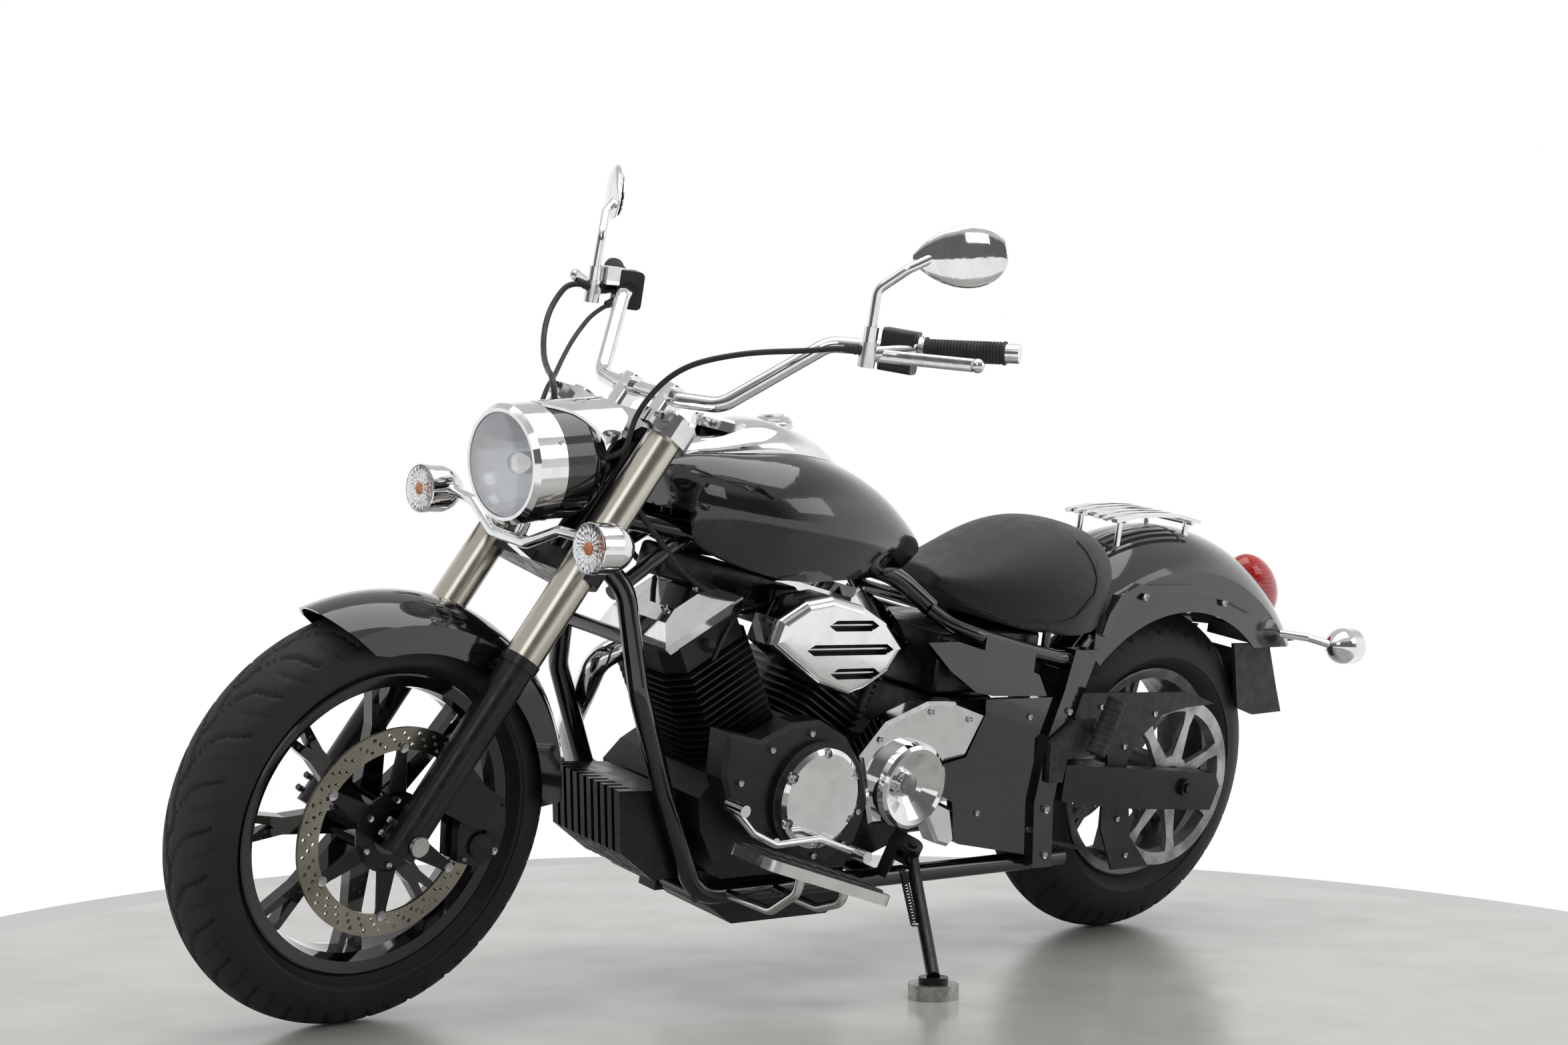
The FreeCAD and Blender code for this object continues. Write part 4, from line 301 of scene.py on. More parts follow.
def brushed(name, color, roughness, stretch, depth=0.28):
    metal = Finish(name, color, roughness, 1.0)
    lines = metal.noise(90, 2, 0.6, stretch)
    darker = tuple(value * (1 - depth) for value in color)
    metal.colored(metal.ranged(lines, 0.3, 0.7, 0, 1), darker, color)
    metal.rough(metal.ranged(lines, 0.3, 0.7, roughness - depth * 0.2, roughness + depth * 0.35))
    metal.raised(lines, depth * 0.2, 0.0004)
    return metal.material


def discSteel(name, place, turned):
    # Ground steel: fine rings round the axle where the pads run, straw and blue tints
    steel = Finish(name, (0.5, 0.48, 0.44), 0.26, 1.0)
    steel.reach(place, turned)
    radius = steel.axleRadius()
    rings = (radius * 2600).called("SINE") * 0.5 + 0.5
    tint = steel.noise(9, 3)
    steel.colored(steel.ranged(tint * 0.7 + rings * 0.3, 0.3, 0.7, 0, 1),
                  (0.20, 0.185, 0.155), (0.40, 0.375, 0.32))
    steel.rough(rings * 0.12 + 0.2)
    steel.raised(rings, 0.05, 0.0003)
    return steel.material


def tyreRubber(name, place, turned):
    # Rubber: dull, greyer on the tread, with fine moulded rings on the sidewall
    rubber = Finish(name, (0.022, 0.022, 0.024), 0.62, 0.0, Specular_IOR_Level=0.35)
    rubber.reach(place, turned)
    radius = rubber.axleRadius()
    worn = rubber.ranged(radius, 0.285, 0.318, 0, 1)
    dust = rubber.noise(26, 3, 0.6)
    rubber.colored((worn * 0.6 + dust * 0.6).clamped(), (0.007, 0.007, 0.008), (0.028, 0.028, 0.029))
    rubber.rough(worn * 0.14 + 0.5 + dust * 0.12)
    moulded = (radius * 1500).called("SINE") * rubber.ranged(radius, 0.25, 0.275, 1, 0)
    rubber.raised(moulded, 0.10, 0.0006)
    rubber.raised(rubber.noise(500, 1), 0.15, 0.0005)
    return rubber.material


def softRubber(name, color):
    rubber = Finish(name, color, 0.6, 0.0, Specular_IOR_Level=0.4)
    lighter = tuple(value * 2.0 + 0.004 for value in color)
    rubber.colored(rubber.ranged(rubber.noise(30, 2), 0.35, 0.75, 0, 1), color, lighter)
    rubber.rough(rubber.ranged(rubber.noise(80, 1), 0.3, 0.7, 0.5, 0.7))
    rubber.raised(rubber.noise(650, 1), 0.2, 0.0005)
    return rubber.material


def saddleHide(name):
    # Black grained leather: small cells, soft creases and a light sheen. The colour is darker along the
    # cells' edges and in the creases' hollows, a painted shade in the grooves
    hide = Finish(name, (0.016, 0.016, 0.017), 0.5, 0.0, Specular_IOR_Level=0.45, Sheen_Weight=0.12,
                  Sheen_Roughness=0.5)
    grain = hide.cellEdges(620)
    creases = hide.noise(34, 3, 0.6)
    # painted shade: the grooves and crease hollows that the bumps press in take the darker colour
    hide.colored(hide.ranged(grain * 0.4 + creases * 0.6, 0.2, 0.6, 0, 1), (0.006, 0.006, 0.007),
                 (0.018, 0.018, 0.020))
    hide.rough(hide.ranged(creases, 0.3, 0.7, 0.4, 0.56))
    hide.raised(hide.ranged(grain, 0.0, 0.18, 0, 1), 0.35, 0.0006)
    hide.raised(creases, 0.12, 0.002)
    return hide.material


def clearPlastic(name, color, roughness, ribs):
    # Lamp lens: clear, with moulded flutes
    lens = Finish(name, color, roughness, 0.0, Transmission_Weight=1.0, IOR=1.46)
    darker = tuple(value * 0.95 for value in color)
    lens.colored(lens.ranged(lens.noise(40, 2), 0.3, 0.7, 0, 1), color, darker)
    if ribs:
        lens.raised((lens.parts()[1] * ribs).called("SINE"), 0.2, 0.0008)
    return lens.material


def redPlastic(name):
    lens = Finish(name, (0.42, 0.006, 0.008), 0.08, 0.0, Coat_Weight=0.6, Coat_Roughness=0.02,
                  Subsurface_Weight=0.15, Subsurface_Scale=0.01)
    _, along, up = lens.parts()
    grid = ((along * 700).called("SINE") * (up * 700).called("SINE")) * 0.5 + 0.5
    lens.colored(lens.ranged(grid, 0.2, 0.8, 0, 1), (0.30, 0.004, 0.006), (0.52, 0.012, 0.012))
    lens.raised(grid, 0.12, 0.0008)
    return lens.material


axleTurn = Quaternion(leanTurn).to_euler()
steerEuler = Quaternion(steerTurn).to_euler()
rearSpot = tuple(rearWheelPlace.translation)
frontSpot = tuple(frontWheelPlace.translation)
finishes = {
    "glossBlack": glossPaint("glossBlack", (0.003, 0.003, 0.0036), 0.0015),
    "glossGrey": glossPaint("glossGrey", (0.022, 0.023, 0.027), 0.004),
    "satinBlack": satinPaint("satinBlack", (0.0065, 0.0065, 0.0075), 0.3, 520),
    "sliderBlack": satinPaint("sliderBlack", (0.008, 0.008, 0.0095), 0.26, 400),
    "engineBlack": castMetal("engineBlack", (0.009, 0.009, 0.010), 0.38, 0.2),
    "finBlack": castMetal("finBlack", (0.008, 0.008, 0.009), 0.36, 0.3),
    "chrome": plated("chrome", (0.80, 0.81, 0.82), 0.05),
    "lampSilver": plated("lampSilver", (0.74, 0.75, 0.77), 0.2, 0.1, 0.25),
    "mirrorGlass": plated("mirrorGlass", (0.86, 0.88, 0.9), 0.01, 0.01),
    "polished": plated("polished", (0.72, 0.72, 0.72), 0.16, 0.1),
    "nickel": brushed("nickel", (0.60, 0.565, 0.50), 0.24, (1, 1, 1), 0.05),
    "spokeGrey": castMetal("spokeGrey", (0.12, 0.12, 0.125), 0.34, 0.7),
    "castGrey": castMetal("castGrey", (0.36, 0.36, 0.36), 0.38, 0.85),
    "frontDisc": discSteel("frontDisc", frontSpot, steerEuler),
    "rearDisc": discSteel("rearDisc", rearSpot, axleTurn),
    "steel": brushed("steel", (0.56, 0.55, 0.52), 0.3, (1, 1, 1)),
    "boltSteel": plated("boltSteel", (0.5, 0.5, 0.5), 0.22, 0.15),
    "frontRubber": tyreRubber("frontRubber", frontSpot, steerEuler),
    "rearRubber": tyreRubber("rearRubber", rearSpot, axleTurn),
    "rubber": softRubber("rubber", (0.018, 0.018, 0.019)),
    "hide": saddleHide("hide"),
    "plastic": satinPaint("plastic", (0.017, 0.017, 0.018), 0.42, 700),
    # painted shade: a near-black finish for sheets set where there is only shade
    "shade": satinPaint("shade", (0.006, 0.006, 0.006), 0.6, 300),
    "clear": clearPlastic("clear", (0.97, 0.98, 0.99), 0.02, 0),
    "clearRibbed": clearPlastic("clearRibbed", (0.96, 0.97, 0.98), 0.03, 900),
    "red": redPlastic("red"),
    "amber": glossPaint("amber", (0.75, 0.19, 0.01), 0.05),
    "cable": satinPaint("cable", (0.014, 0.014, 0.015), 0.4, 900),
    "dial": satinPaint("dial", (0.01, 0.01, 0.011), 0.3, 800),
    "whiteInk": satinPaint("whiteInk", (0.7, 0.7, 0.7), 0.4, 800),
}
print("finishes mixed")

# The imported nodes, listed under their finish
finishNodes = {
    "glossBlack": ("front_rim", "front_fender", "headlamp_shell", "frame_backbone", "frame_cradle",
                   "frame_uprights", "fuel_tank", "side_covers"),
    "satinBlack": ("lower_clamp", "front_caliper", "swingarm", "regulator", "rear_caliper",
                   "side_stand", "stand_bracket"),
    "chrome": ("handlebar", "mirrors", "headlamp_bezel", "headlamp_visor", "front_signals",
               "rocker_covers", "clutch_cap", "pulley_cover", "air_cleaner", "tank_console",
               "luggage_rack", "rear_signals", "foot_controls", "exhaust"),
    "polished": ("upper_clamp", "levers", "floorboards"),
    "rubber": ("grips", "drive_belt", "passenger_pegs"),
    "plastic": ("switchgear", "plate_bracket", "belt_guards"),
    "cable": ("clutch_cable", "brake_hose", "throttle_cable"),
    "engineBlack": ("crankcase", "clutch_cover"),
    "finBlack": ("front_cylinder", "rear_cylinder"),
    "steel": ("front_axle", "stand_puck"),
    "spokeGrey": ("rear_rim",), "castGrey": ("rear_pulley",), "nickel": ("fork_covers",),
    "sliderBlack": ("fork_sliders",), "clear": ("headlamp_lens",), "glossGrey": ("rear_fender",),
    "red": ("tail_light",), "hide": ("seat",), "frontRubber": ("front_tyre",),
    "rearRubber": ("rear_tyre",), "frontDisc": ("front_disc",), "rearDisc": ("rear_disc",),
}
for finishName, nodeNames in finishNodes.items():
    for nodeName in nodeNames:
        nodeMesh = frame["nodes"][nodeName].data
        nodeMesh.materials.clear()
        nodeMesh.materials.append(finishes[finishName])
print("nodes finished", sum(len(nodeNames) for nodeNames in finishNodes.values()))


# Cords, held at both ends: points in mm on the upright motorcycle with the wheel straight,
# radius in mm, length in metres
cords = {
    "clutchCable": {
        "node": "clutch_cable", "radius": 4.5, "length": 0.497,
        "points": ((1122, 333, 1112), (1150, 308, 1112), (1181, 272, 1099), (1232, 215, 1085),
                   (1271, 172, 1067), (1299, 142, 1049), (1320, 119, 1024), (1337, 100, 989),
                   (1350, 90, 952), (1356, 92, 918), (1368, 92, 896), (1396, 56, 880)),
    },
    "brakeHose": {
        "node": "brake_hose", "radius": 5, "length": 0.514,
        "points": ((1122, -333, 1112), (1160, -345, 1124), (1200, -338, 1080), (1240, -300, 1040),
                   (1285, -235, 1002), (1325, -165, 985), (1352, -120, 985), (1362, -92, 955),
                   (1362, -93, 920), (1368, -93, 900), (1390, -56, 894)),
    },
    "throttleCable": {
        "node": "throttle_cable", "radius": 4, "length": 0.525,
        "points": ((1062, -325, 1100), (1110, -330, 1078), (1180, -290, 1034), (1240, -240, 1000),
                   (1296, -186, 972), (1340, -142, 965), (1370, -114, 942), (1386, -103, 900),
                   (1392, -98, 884), (1404, -60, 862)),
    },
}


def roundCurve(name, spots, radius, steps, sides):
    # A round line along its spots, in metres
    data = bpy.data.curves.new(name, "CURVE")
    data.dimensions = "3D"
    data.resolution_u = steps
    data.bevel_depth = radius
    data.bevel_resolution = sides
    spline = data.splines.new("NURBS")
    spline.points.add(len(spots) - 1)
    for point, spot in zip(spline.points, spots):
        point.co = (*spot, 1)
    spline.order_u = 3
    spline.use_endpoint_u = True
    return data


def addCord(name, facts):
    spots = [steerPlace @ (Vector(spot) * mm) for spot in facts["points"]]
    data = roundCurve(name, spots, facts["radius"] * mm, 12, 4)
    data.materials.append(finishes["cable"])
    piece = linked(name, data)
    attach(piece, "steering")
    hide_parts(facts["node"])
    2 * facts["radius"] * mm


for cordName, cordFacts in cords.items():
    addCord(cordName, cordFacts)
print("cords laid")


# Small modelling helpers. A shape is made in mm in its own place, then finished as a piece
def finishPiece(shape, name, body, place, finish, slotName, angle=32):
    bmesh.ops.remove_doubles(shape, verts=shape.verts, dist=0.002)
    bmesh.ops.recalc_face_normals(shape, faces=shape.faces)
    bmesh.ops.transform(shape, matrix=place @ Matrix.Scale(mm, 4), verts=shape.verts)
    mesh = bpy.data.meshes.new(name)
    shape.to_mesh(mesh)
    shape.free()
    mesh.materials.append(finishes[finish])
    mesh.shade_smooth()
    mesh.set_sharp_from_angle(angle=math.radians(angle))
    piece = linked(name, mesh)
    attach(piece, body)
    return piece


def spinOutline(shape, outline, axis, steps, place=None):
    # A ring turned round an axis from (along, radius) spots
    known = set(shape.verts)
    spots = []
    for along, radius in outline:
        spots.append(Vector((along, 0, radius)) if axis == "X" else Vector((0, along, radius)))
    verts = [shape.verts.new(spot) for spot in spots]
    edges = [shape.edges.new(pair) for pair in zip(verts, verts[1:] + verts[:1])]
    line = (1, 0, 0) if axis == "X" else (0, 1, 0)
    bmesh.ops.spin(shape, geom=verts + edges, cent=(0, 0, 0), axis=line, angle=math.tau, steps=steps,
                   use_merge=True)
    grown = [vert for vert in shape.verts if vert not in known]
    if place is not None:
        bmesh.ops.transform(shape, matrix=place, verts=grown)
    return grown


def addSpun(name, outline, axis, steps, body, place, finish, slotName, angle=32, seat=None):
    # A piece that is one ring
    shape = bmesh.new()
    spinOutline(shape, outline, axis, steps, seat)
    return finishPiece(shape, name, body, place, finish, slotName, angle)


def extrudeOutline(shape, outline, low, high, bevel=0.0, segments=2):
    # A flat outline seen from the side, from y = low to y = high
    verts = [shape.verts.new((across, low, up)) for across, up in outline]
    face = shape.faces.new(verts)
    made = bmesh.ops.extrude_face_region(shape, geom=[face])
    top = [item for item in made["geom"] if isinstance(item, bmesh.types.BMVert)]
    bmesh.ops.translate(shape, vec=(0, high - low, 0), verts=top)
    if bevel:
        edges = {edge for vert in top for edge in vert.link_edges
                 if edge.verts[0] in top and edge.verts[1] in top}
        bmesh.ops.bevel(shape, geom=list(edges), offset=bevel, segments=segments, affect="EDGES",
                        profile=0.5, material=-1)


def addBolt(shape, spot, direction, radius, height):
    # A cap screw: a tapered head with a socket
    sides = 12
    base = Matrix.Translation(Vector(spot)) @ towards(direction)
    made = bmesh.ops.create_cone(shape, cap_ends=True, segments=sides, radius1=radius, radius2=radius * 0.92,
                                 depth=height, matrix=base @ Matrix.Translation((0, 0, height / 2)))
    normal = (base.to_3x3() @ Vector((0, 0, 1))).normalized()
    caps = [face for face in {f for v in made["verts"] for f in v.link_faces}
            if len(face.verts) == sides]
    for face in caps:
        face.normal_update()
    cap = max(caps, key=lambda face: face.calc_center_median().dot(normal))
    bmesh.ops.inset_region(shape, faces=[cap], thickness=radius * 0.42)
    bmesh.ops.translate(shape, vec=normal * (-height * 0.5), verts=list(cap.verts))


def addRod(shape, start, end, radius, sides=20, taper=1.0):
    start, end = Vector(start), Vector(end)
    along = end - start
    middle = Matrix.Translation(start) @ towards(along) @ Matrix.Translation((0, 0, along.length / 2))
    bmesh.ops.create_cone(shape, cap_ends=True, segments=sides, radius1=radius,
                          radius2=radius * taper, depth=along.length, matrix=middle)


def addBlock(shape, centre, size, turn=None, bevel=2.0, segments=2):
    place = Matrix.Translation(Vector(centre)) @ (turn or Matrix.Identity(4)) @ Matrix.Diagonal((*size, 1))
    made = bmesh.ops.create_cube(shape, size=1.0, matrix=place)
    edges = list({edge for vert in made["verts"] for edge in vert.link_edges})
    bmesh.ops.bevel(shape, geom=edges, offset=bevel, segments=segments, affect="EDGES",
                    profile=0.5, material=-1)


def smoothed(shape):
    bmesh.ops.smooth_vert(shape, verts=shape.verts, factor=0.5,
                          use_axis_x=True, use_axis_y=True, use_axis_z=True)


# Tyres: a spun section whose crown carries real grooves
tyres = {
    "front": {"radius": 320, "width": 130, "rim": 232, "rimWidth": 92, "grooves": 26},
    "rear": {"radius": 322, "width": 170, "rim": 206, "rimWidth": 126, "grooves": 22},
}


def tyreOutline(facts):
    # Half circle crown, full shoulders, then the sidewall down to the bead
    radius, half, rim, bead = facts["radius"], facts["width"] / 2, facts["rim"], facts["rimWidth"] / 2
    centre = radius - half
    outline = []
    steps = 46
    reach = math.radians(82)
    for step in range(steps + 1):
        angle = -reach + 2 * reach * step / steps
        outline.append((half * math.sin(angle) * 0.995, centre + half * math.cos(angle)))
    wall = [(half * 0.995, centre - 4), (half * 0.975, rim + (radius - rim) * 0.26),
            (half * 0.93, rim + (radius - rim) * 0.16), (bead - 3.2, rim + 5), (bead - 5.9, rim + 1),
            (bead - 10, rim - 15.8)]
    outline += wall
    outline += [(-along, height) for along, height in wall[::-1]]
    return outline


def grooveDepth(turn, across, facts):
    # How deep the tread is cut at an angle round the tyre and a distance from its middle line
    half = facts["width"] / 2
    share = abs(across) / half
    pitch = math.tau / facts["grooves"]
    side = 1 if across > 0 else -1
    depth = 0.0
    # Long swept grooves from near the middle to the shoulder
    lead = turn + side * 0.25 * pitch
    sweep = (share - 0.10) * 1.15 * pitch + 0.16 * pitch * math.sin(share * 5.2)
    place = ((lead + sweep * 1.5) / pitch) % 1.0
    if 0.12 < share < 0.86:
        gap = abs(place - 0.5) * pitch * facts["radius"]
        if gap < 3.4:
            depth = 4.2
    # Short slots between them near the shoulder
    place = ((lead + sweep * 1.5) / pitch + 0.5) % 1.0
    if 0.52 < share < 0.9:
        gap = abs(place - 0.5) * pitch * facts["radius"]
        if gap < 2.2:
            depth = max(depth, 2.6)
    # A wavy groove round the middle
    wave = 5.0 * math.sin(turn * facts["grooves"])
    if abs(across - wave) < 2.6:
        depth = max(depth, 4.0)
    return depth


def addTyre(side):
    facts = tyres[side]
    shape = bmesh.new()
    steps = 480
    verts = spinOutline(shape, tyreOutline(facts), "Y", steps)
    centre = facts["radius"] - facts["width"] / 2
    for vert in verts:
        radius = math.hypot(vert.co.x, vert.co.z)
        if radius > centre + 2:
            turn = math.atan2(vert.co.x, vert.co.z)
            depth = grooveDepth(turn, vert.co.y, facts)
            if depth:
                inward = vert.co * (1 - centre / radius)
                inward.y = vert.co.y
                vert.co -= inward.normalized() * depth
    piece = finishPiece(shape, f"{side}TyreTread", f"{side}_wheel", wheelPlaces[side],
                        f"{side}Rubber", "tyre", 40)
    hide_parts(f"{side}_tyre")


for wheelSide in wheelPlaces:
    addTyre(wheelSide)
print("tyres moulded")


# Brake discs with drilled rings on six-arm carriers
discs = {
    "front": {"radius": 160, "band": 34, "place": 76, "hole": 3.4,
              "rows": ((151, 36, 0.0), (142.5, 36, 0.33), (134, 36, 0.66)),
              "thick": 5, "arms": 6, "centre": 62, "bore": 34},
    "rear": {"radius": 149, "band": 32, "place": -106, "hole": 3.2,
             "rows": ((141, 32, 0.0), (132.5, 32, 0.33), (124, 32, 0.66)),
             "thick": 5, "arms": 6, "centre": 62, "bore": 34},
}


def addDisc(side):
    facts = discs[side]
    body, place = f"{side}_wheel", wheelPlaces[side]
    outer, inner, thick = facts["radius"], facts["radius"] - facts["band"], facts["thick"]
    shape = bmesh.new()
    rings = [(outer, 144, (0, 0)), (inner, 96, (0, 0))]
    for radius, count, shift in facts["rows"]:
        for step in range(count):
            angle = math.tau * (step + shift) / count
            rings.append((facts["hole"], 10, (radius * math.cos(angle), radius * math.sin(angle))))
    for radius, sides, (across, up) in rings:
        bmesh.ops.create_circle(shape, segments=sides, radius=radius,
                                matrix=Matrix.Translation((across, up, 0)))
    bmesh.ops.triangle_fill(shape, edges=list(shape.edges), use_beauty=True)
    bmesh.ops.transform(shape, matrix=turnedBy(90, "X"), verts=shape.verts)
    made = bmesh.ops.extrude_face_region(shape, geom=list(shape.faces))
    grown = [item for item in made["geom"] if isinstance(item, bmesh.types.BMVert)]
    bmesh.ops.translate(shape, vec=(0, thick, 0), verts=grown)
    bmesh.ops.translate(shape, vec=(0, facts["place"] - thick / 2, 0), verts=shape.verts)
    band = finishPiece(shape, f"{side}DiscBand", body, place, f"{side}Disc", "steel", 30)
    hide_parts(f"{side}_disc")
    # The carrier: a ring with arms out to buttons under the band
    shape = bmesh.new()
    low, high = facts["place"] - thick / 2 + 0.4, facts["place"] + thick / 2 - 0.4
    spinOutline(shape, [(low, facts["bore"]), (low, facts["centre"]), (high, facts["centre"]),
                        (high, facts["bore"])], "Y", 72)
    for step in range(facts["arms"]):
        angle = math.tau * (step + 0.5) / facts["arms"]
        reach = inner + 9
        outline = [(facts["centre"] - 8, -17), (inner - 10, -9), (reach, -9), (reach, 9), (inner - 10, 9),
                   (facts["centre"] - 8, 17)]
        turned = [(a * math.cos(angle) - b * math.sin(angle), a * math.sin(angle) + b * math.cos(angle))
                  for a, b in outline]
        extrudeOutline(shape, turned, low, high, 0.8, 1)
    carrier = finishPiece(shape, f"{side}DiscCarrier", body, place, "satinBlack", "black_satin", 30)
    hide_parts(f"{side}_disc")
    shape = bmesh.new()
    outward = 1 if facts["place"] > 0 else -1
    face = facts["place"] + outward * thick / 2
    for step in range(facts["arms"]):
        angle = math.tau * (step + 0.5) / facts["arms"]
        spot = ((inner + 3) * math.cos(angle), face - outward * 0.5, (inner + 3) * math.sin(angle))
        addBolt(shape, spot, (0, outward, 0), 8.5, 2.2)
        spot = (50 * math.cos(angle), face - outward * 0.9, 50 * math.sin(angle))
        addBolt(shape, spot, (0, outward, 0), 5.5, 5)
    finishPiece(shape, f"{side}DiscBolts", body, place, "boltSteel", "steel")


for wheelSide in wheelPlaces:
    addDisc(wheelSide)
print("discs drilled")

# Saddle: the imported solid's form, remeshed, puffed up under pressure, then creased along its seam
saddle = {
    "voxel": 0.0058,
    "shrink": 0.0035,
    "reach": 0.007,       # no point of the hide is pushed further than this
    "frames": 20,
    "cloth": {"quality": 6, "mass": 0.3, "use_pressure": True, "uniform_pressure_force": 4.0,
              "vertex_group_mass": "held", "pin_stiffness": 0.4, "tension_stiffness": 30,
              "compression_stiffness": 30, "bending_stiffness": 2},
    "hold": {"underside": 1.0, "nose": 0.6, "top": 0.25},
    "noseFrom": 610,
    "seam": ((722, 705), (700, 692), (644, 669), (590, 655), (529, 645), (470, 634), (412, 628), (360, 634),
             (322, 655), (303, 691), (300, 728), (308, 762), (326, 790)),
    "seamDepth": 0.0022,
    "seamWidth": 0.006,
}


def puffed(piece):
    # Cloth pressure from inside, with every point held near where it began
    scene = bpy.context.scene
    start = [vert.co.copy() for vert in piece.data.vertices]
    held = piece.vertex_groups.new(name="held")
    for vert in piece.data.vertices:
        upright = chassisPlace.inverted() @ vert.co / mm
        part = "underside" if vert.normal.z < -0.35 else "top"
        if upright.x > saddle["noseFrom"]:
            part = "nose"
        held.add([vert.index], saddle["hold"][part], "REPLACE")
    cloth = piece.modifiers.new("padding", "CLOTH")
    for words, value in saddle["cloth"].items():
        setattr(cloth.settings, words, value)
    cloth.settings.effector_weights.gravity = 0
    cloth.point_cache.frame_start = 1
    cloth.point_cache.frame_end = saddle["frames"]
    for step in range(1, saddle["frames"] + 1):
        scene.frame_set(step)
    graph = bpy.context.evaluated_depsgraph_get()
    puffedMesh = piece.evaluated_get(graph).to_mesh()
    ends = [vert.co.copy() for vert in puffedMesh.vertices]
    piece.evaluated_get(graph).to_mesh_clear()
    piece.modifiers.remove(cloth)
    for vert, before, after in zip(piece.data.vertices, start, ends):
        shift = after - before
        if shift.length > saddle["reach"]:
            shift = shift.normalized() * saddle["reach"]
        vert.co = before + shift
    scene.frame_set(1)


def seamSpots():
    # The seam's line as the side view shows it, filled in between its measured spots
    spots = [Vector(spot) for spot in saddle["seam"]]
    line = [start.lerp(end, step / 6) for start, end in zip(spots, spots[1:]) for step in range(6)]
    return line + spots[-1:]


def addSaddle():
    source = frame["nodes"]["seat"].data.copy()
    piece = linked("saddleHide", source)
    shape = bmesh.new()
    shape.from_mesh(source)
    bmesh.ops.remove_doubles(shape, verts=shape.verts, dist=0.0002)
    shape.to_mesh(source)
    shape.free()
    remesh = piece.modifiers.new("voxels", "REMESH")
    remesh.mode = "VOXEL"
    remesh.voxel_size = saddle["voxel"]
    graph = bpy.context.evaluated_depsgraph_get()
    made = bpy.data.meshes.new_from_object(piece.evaluated_get(graph))
    piece.modifiers.remove(remesh)
    piece.data = made
    made.name = "saddleHide"
    shape = bmesh.new()
    shape.from_mesh(made)
    smoothed(shape)
    shape.normal_update()
    for vert in shape.verts:
        vert.co -= vert.normal * saddle["shrink"]
    shape.to_mesh(made)
    shape.free()
    puffed(piece)
    shape = bmesh.new()
    shape.from_mesh(made)
    for _ in range(3):
        smoothed(shape)
    shape.normal_update()
    # Crease the hide along the seam on both sides, and note where its piping lies
    back = chassisPlace.inverted()
    line = seamSpots()
    piping = {sign: [] for sign in (1, -1)}
    upright = [(vert, back @ vert.co / mm) for vert in shape.verts]
    for sign in (1, -1):
        side = [(vert, spot) for vert, spot in upright if spot.y * sign > 30]
        for mark in line:
            near = [(vert, spot) for vert, spot in side
                    if abs(spot.x - mark.x) < 7 and abs(spot.z - mark.y) < 7]
            if near:
                vert, spot = max(near, key=lambda pair: pair[1].y * sign)
                piping[sign].append(vert.co + vert.normal * 0.0006)
    for vert, spot in upright:
        sign = 1 if spot.y > 0 else -1
        if piping[sign]:
            gap = min((vert.co - mark).length for mark in piping[sign])
            if gap < saddle["seamWidth"]:
                share = 1 - gap / saddle["seamWidth"]
                vert.co -= vert.normal * saddle["seamDepth"] * share * share
    shape.to_mesh(made)
    shape.free()
    made.materials.clear()
    made.materials.append(finishes["hide"])
    made.shade_smooth()
    finer = piece.modifiers.new("finer", "SUBSURF")
    finer.levels = 1
    finer.render_levels = 1
    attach(piece, "chassis")
    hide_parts("seat")
    for sign, word in bothSides:
        if len(piping[sign]) > 6:
            addTrimLine(f"saddlePiping{word}", piping[sign][::2], 0.0016, "hide", "chassis")


def addTrimLine(name, spots, radius, finish, body):
    # A thin rolled edge along a smooth line, made a mesh
    data = roundCurve(name, spots, radius, 4, 2)
    data.use_fill_caps = True
    drawn = linked(name, data)
    graph = bpy.context.evaluated_depsgraph_get()
    mesh = bpy.data.meshes.new_from_object(drawn.evaluated_get(graph))
    bpy.data.objects.remove(drawn)
    mesh.materials.clear()
    mesh.materials.append(finishes[finish])
    mesh.shade_smooth()
    piece = linked(name, mesh)
    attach(piece, body)


addSaddle()
print("saddle upholstered")


# Headlamp inside: bowl, bulb and its cap
headlamp = {
    "bowl": ((-6.7, 78.2), (-16.6, 73.6), (-25.9, 67.4), (-34.4, 60.1), (-42.0, 51.8), (-48.5, 42.6),
             (-53.9, 32.8), (-57.6, 22.4), (-59.4, 15)),
    "wall": 0.8,
    "facets": 24,
    "screwRadius": 92.4,
}


def addHeadlamp():
    shape = bmesh.new()
    front = list(headlamp["bowl"])
    back = [(along - headlamp["wall"], radius) for along, radius in front[::-1]]
    ring = spinOutline(shape, front + back, "X", 96)
    # Long shallow facets are pressed into the ring
    for vert in ring:
        turn = math.atan2(vert.co.y, vert.co.z)
        reach = math.hypot(vert.co.y, vert.co.z)
        if 24 < reach < 76:
            push = 1 - 0.010 * (0.5 + 0.5 * math.cos(turn * headlamp["facets"]))
            vert.co.y *= push
            vert.co.z *= push
    finishPiece(shape, "headlampBowl", "steering", lampPlace, "lampSilver", "chrome", 20)
    addSpun("headlampBulbCap", [(-58, 0.5), (-58, 13), (-50, 13), (-48, 9), (-34, 9), (-30, 15), (-26, 15),
                                (-23, 9), (-22, 0.5)], "X", 40, "steering", lampPlace, "polished", "chrome")
    # Adjusting screws round the bucket
    shape = bmesh.new()
    for angle in (30, 150, 270):
        outward = Vector((0, math.cos(math.radians(angle)), math.sin(math.radians(angle))))
        addBolt(shape, Vector((-50, 0, 0)) + outward * headlamp["screwRadius"], outward, 4, 2.2)
    finishPiece(shape, "headlampScrews", "steering", lampPlace, "boltSteel", "chrome")


addHeadlamp()

# Turn signals: fluted clear lenses over amber bulbs
signals = {
    "front": {"spot": (1505, 216, 779), "radius": 35.6, "way": 1},
    "rear": {"spot": (-411, 205, 598), "radius": 32.5, "way": -1},
}


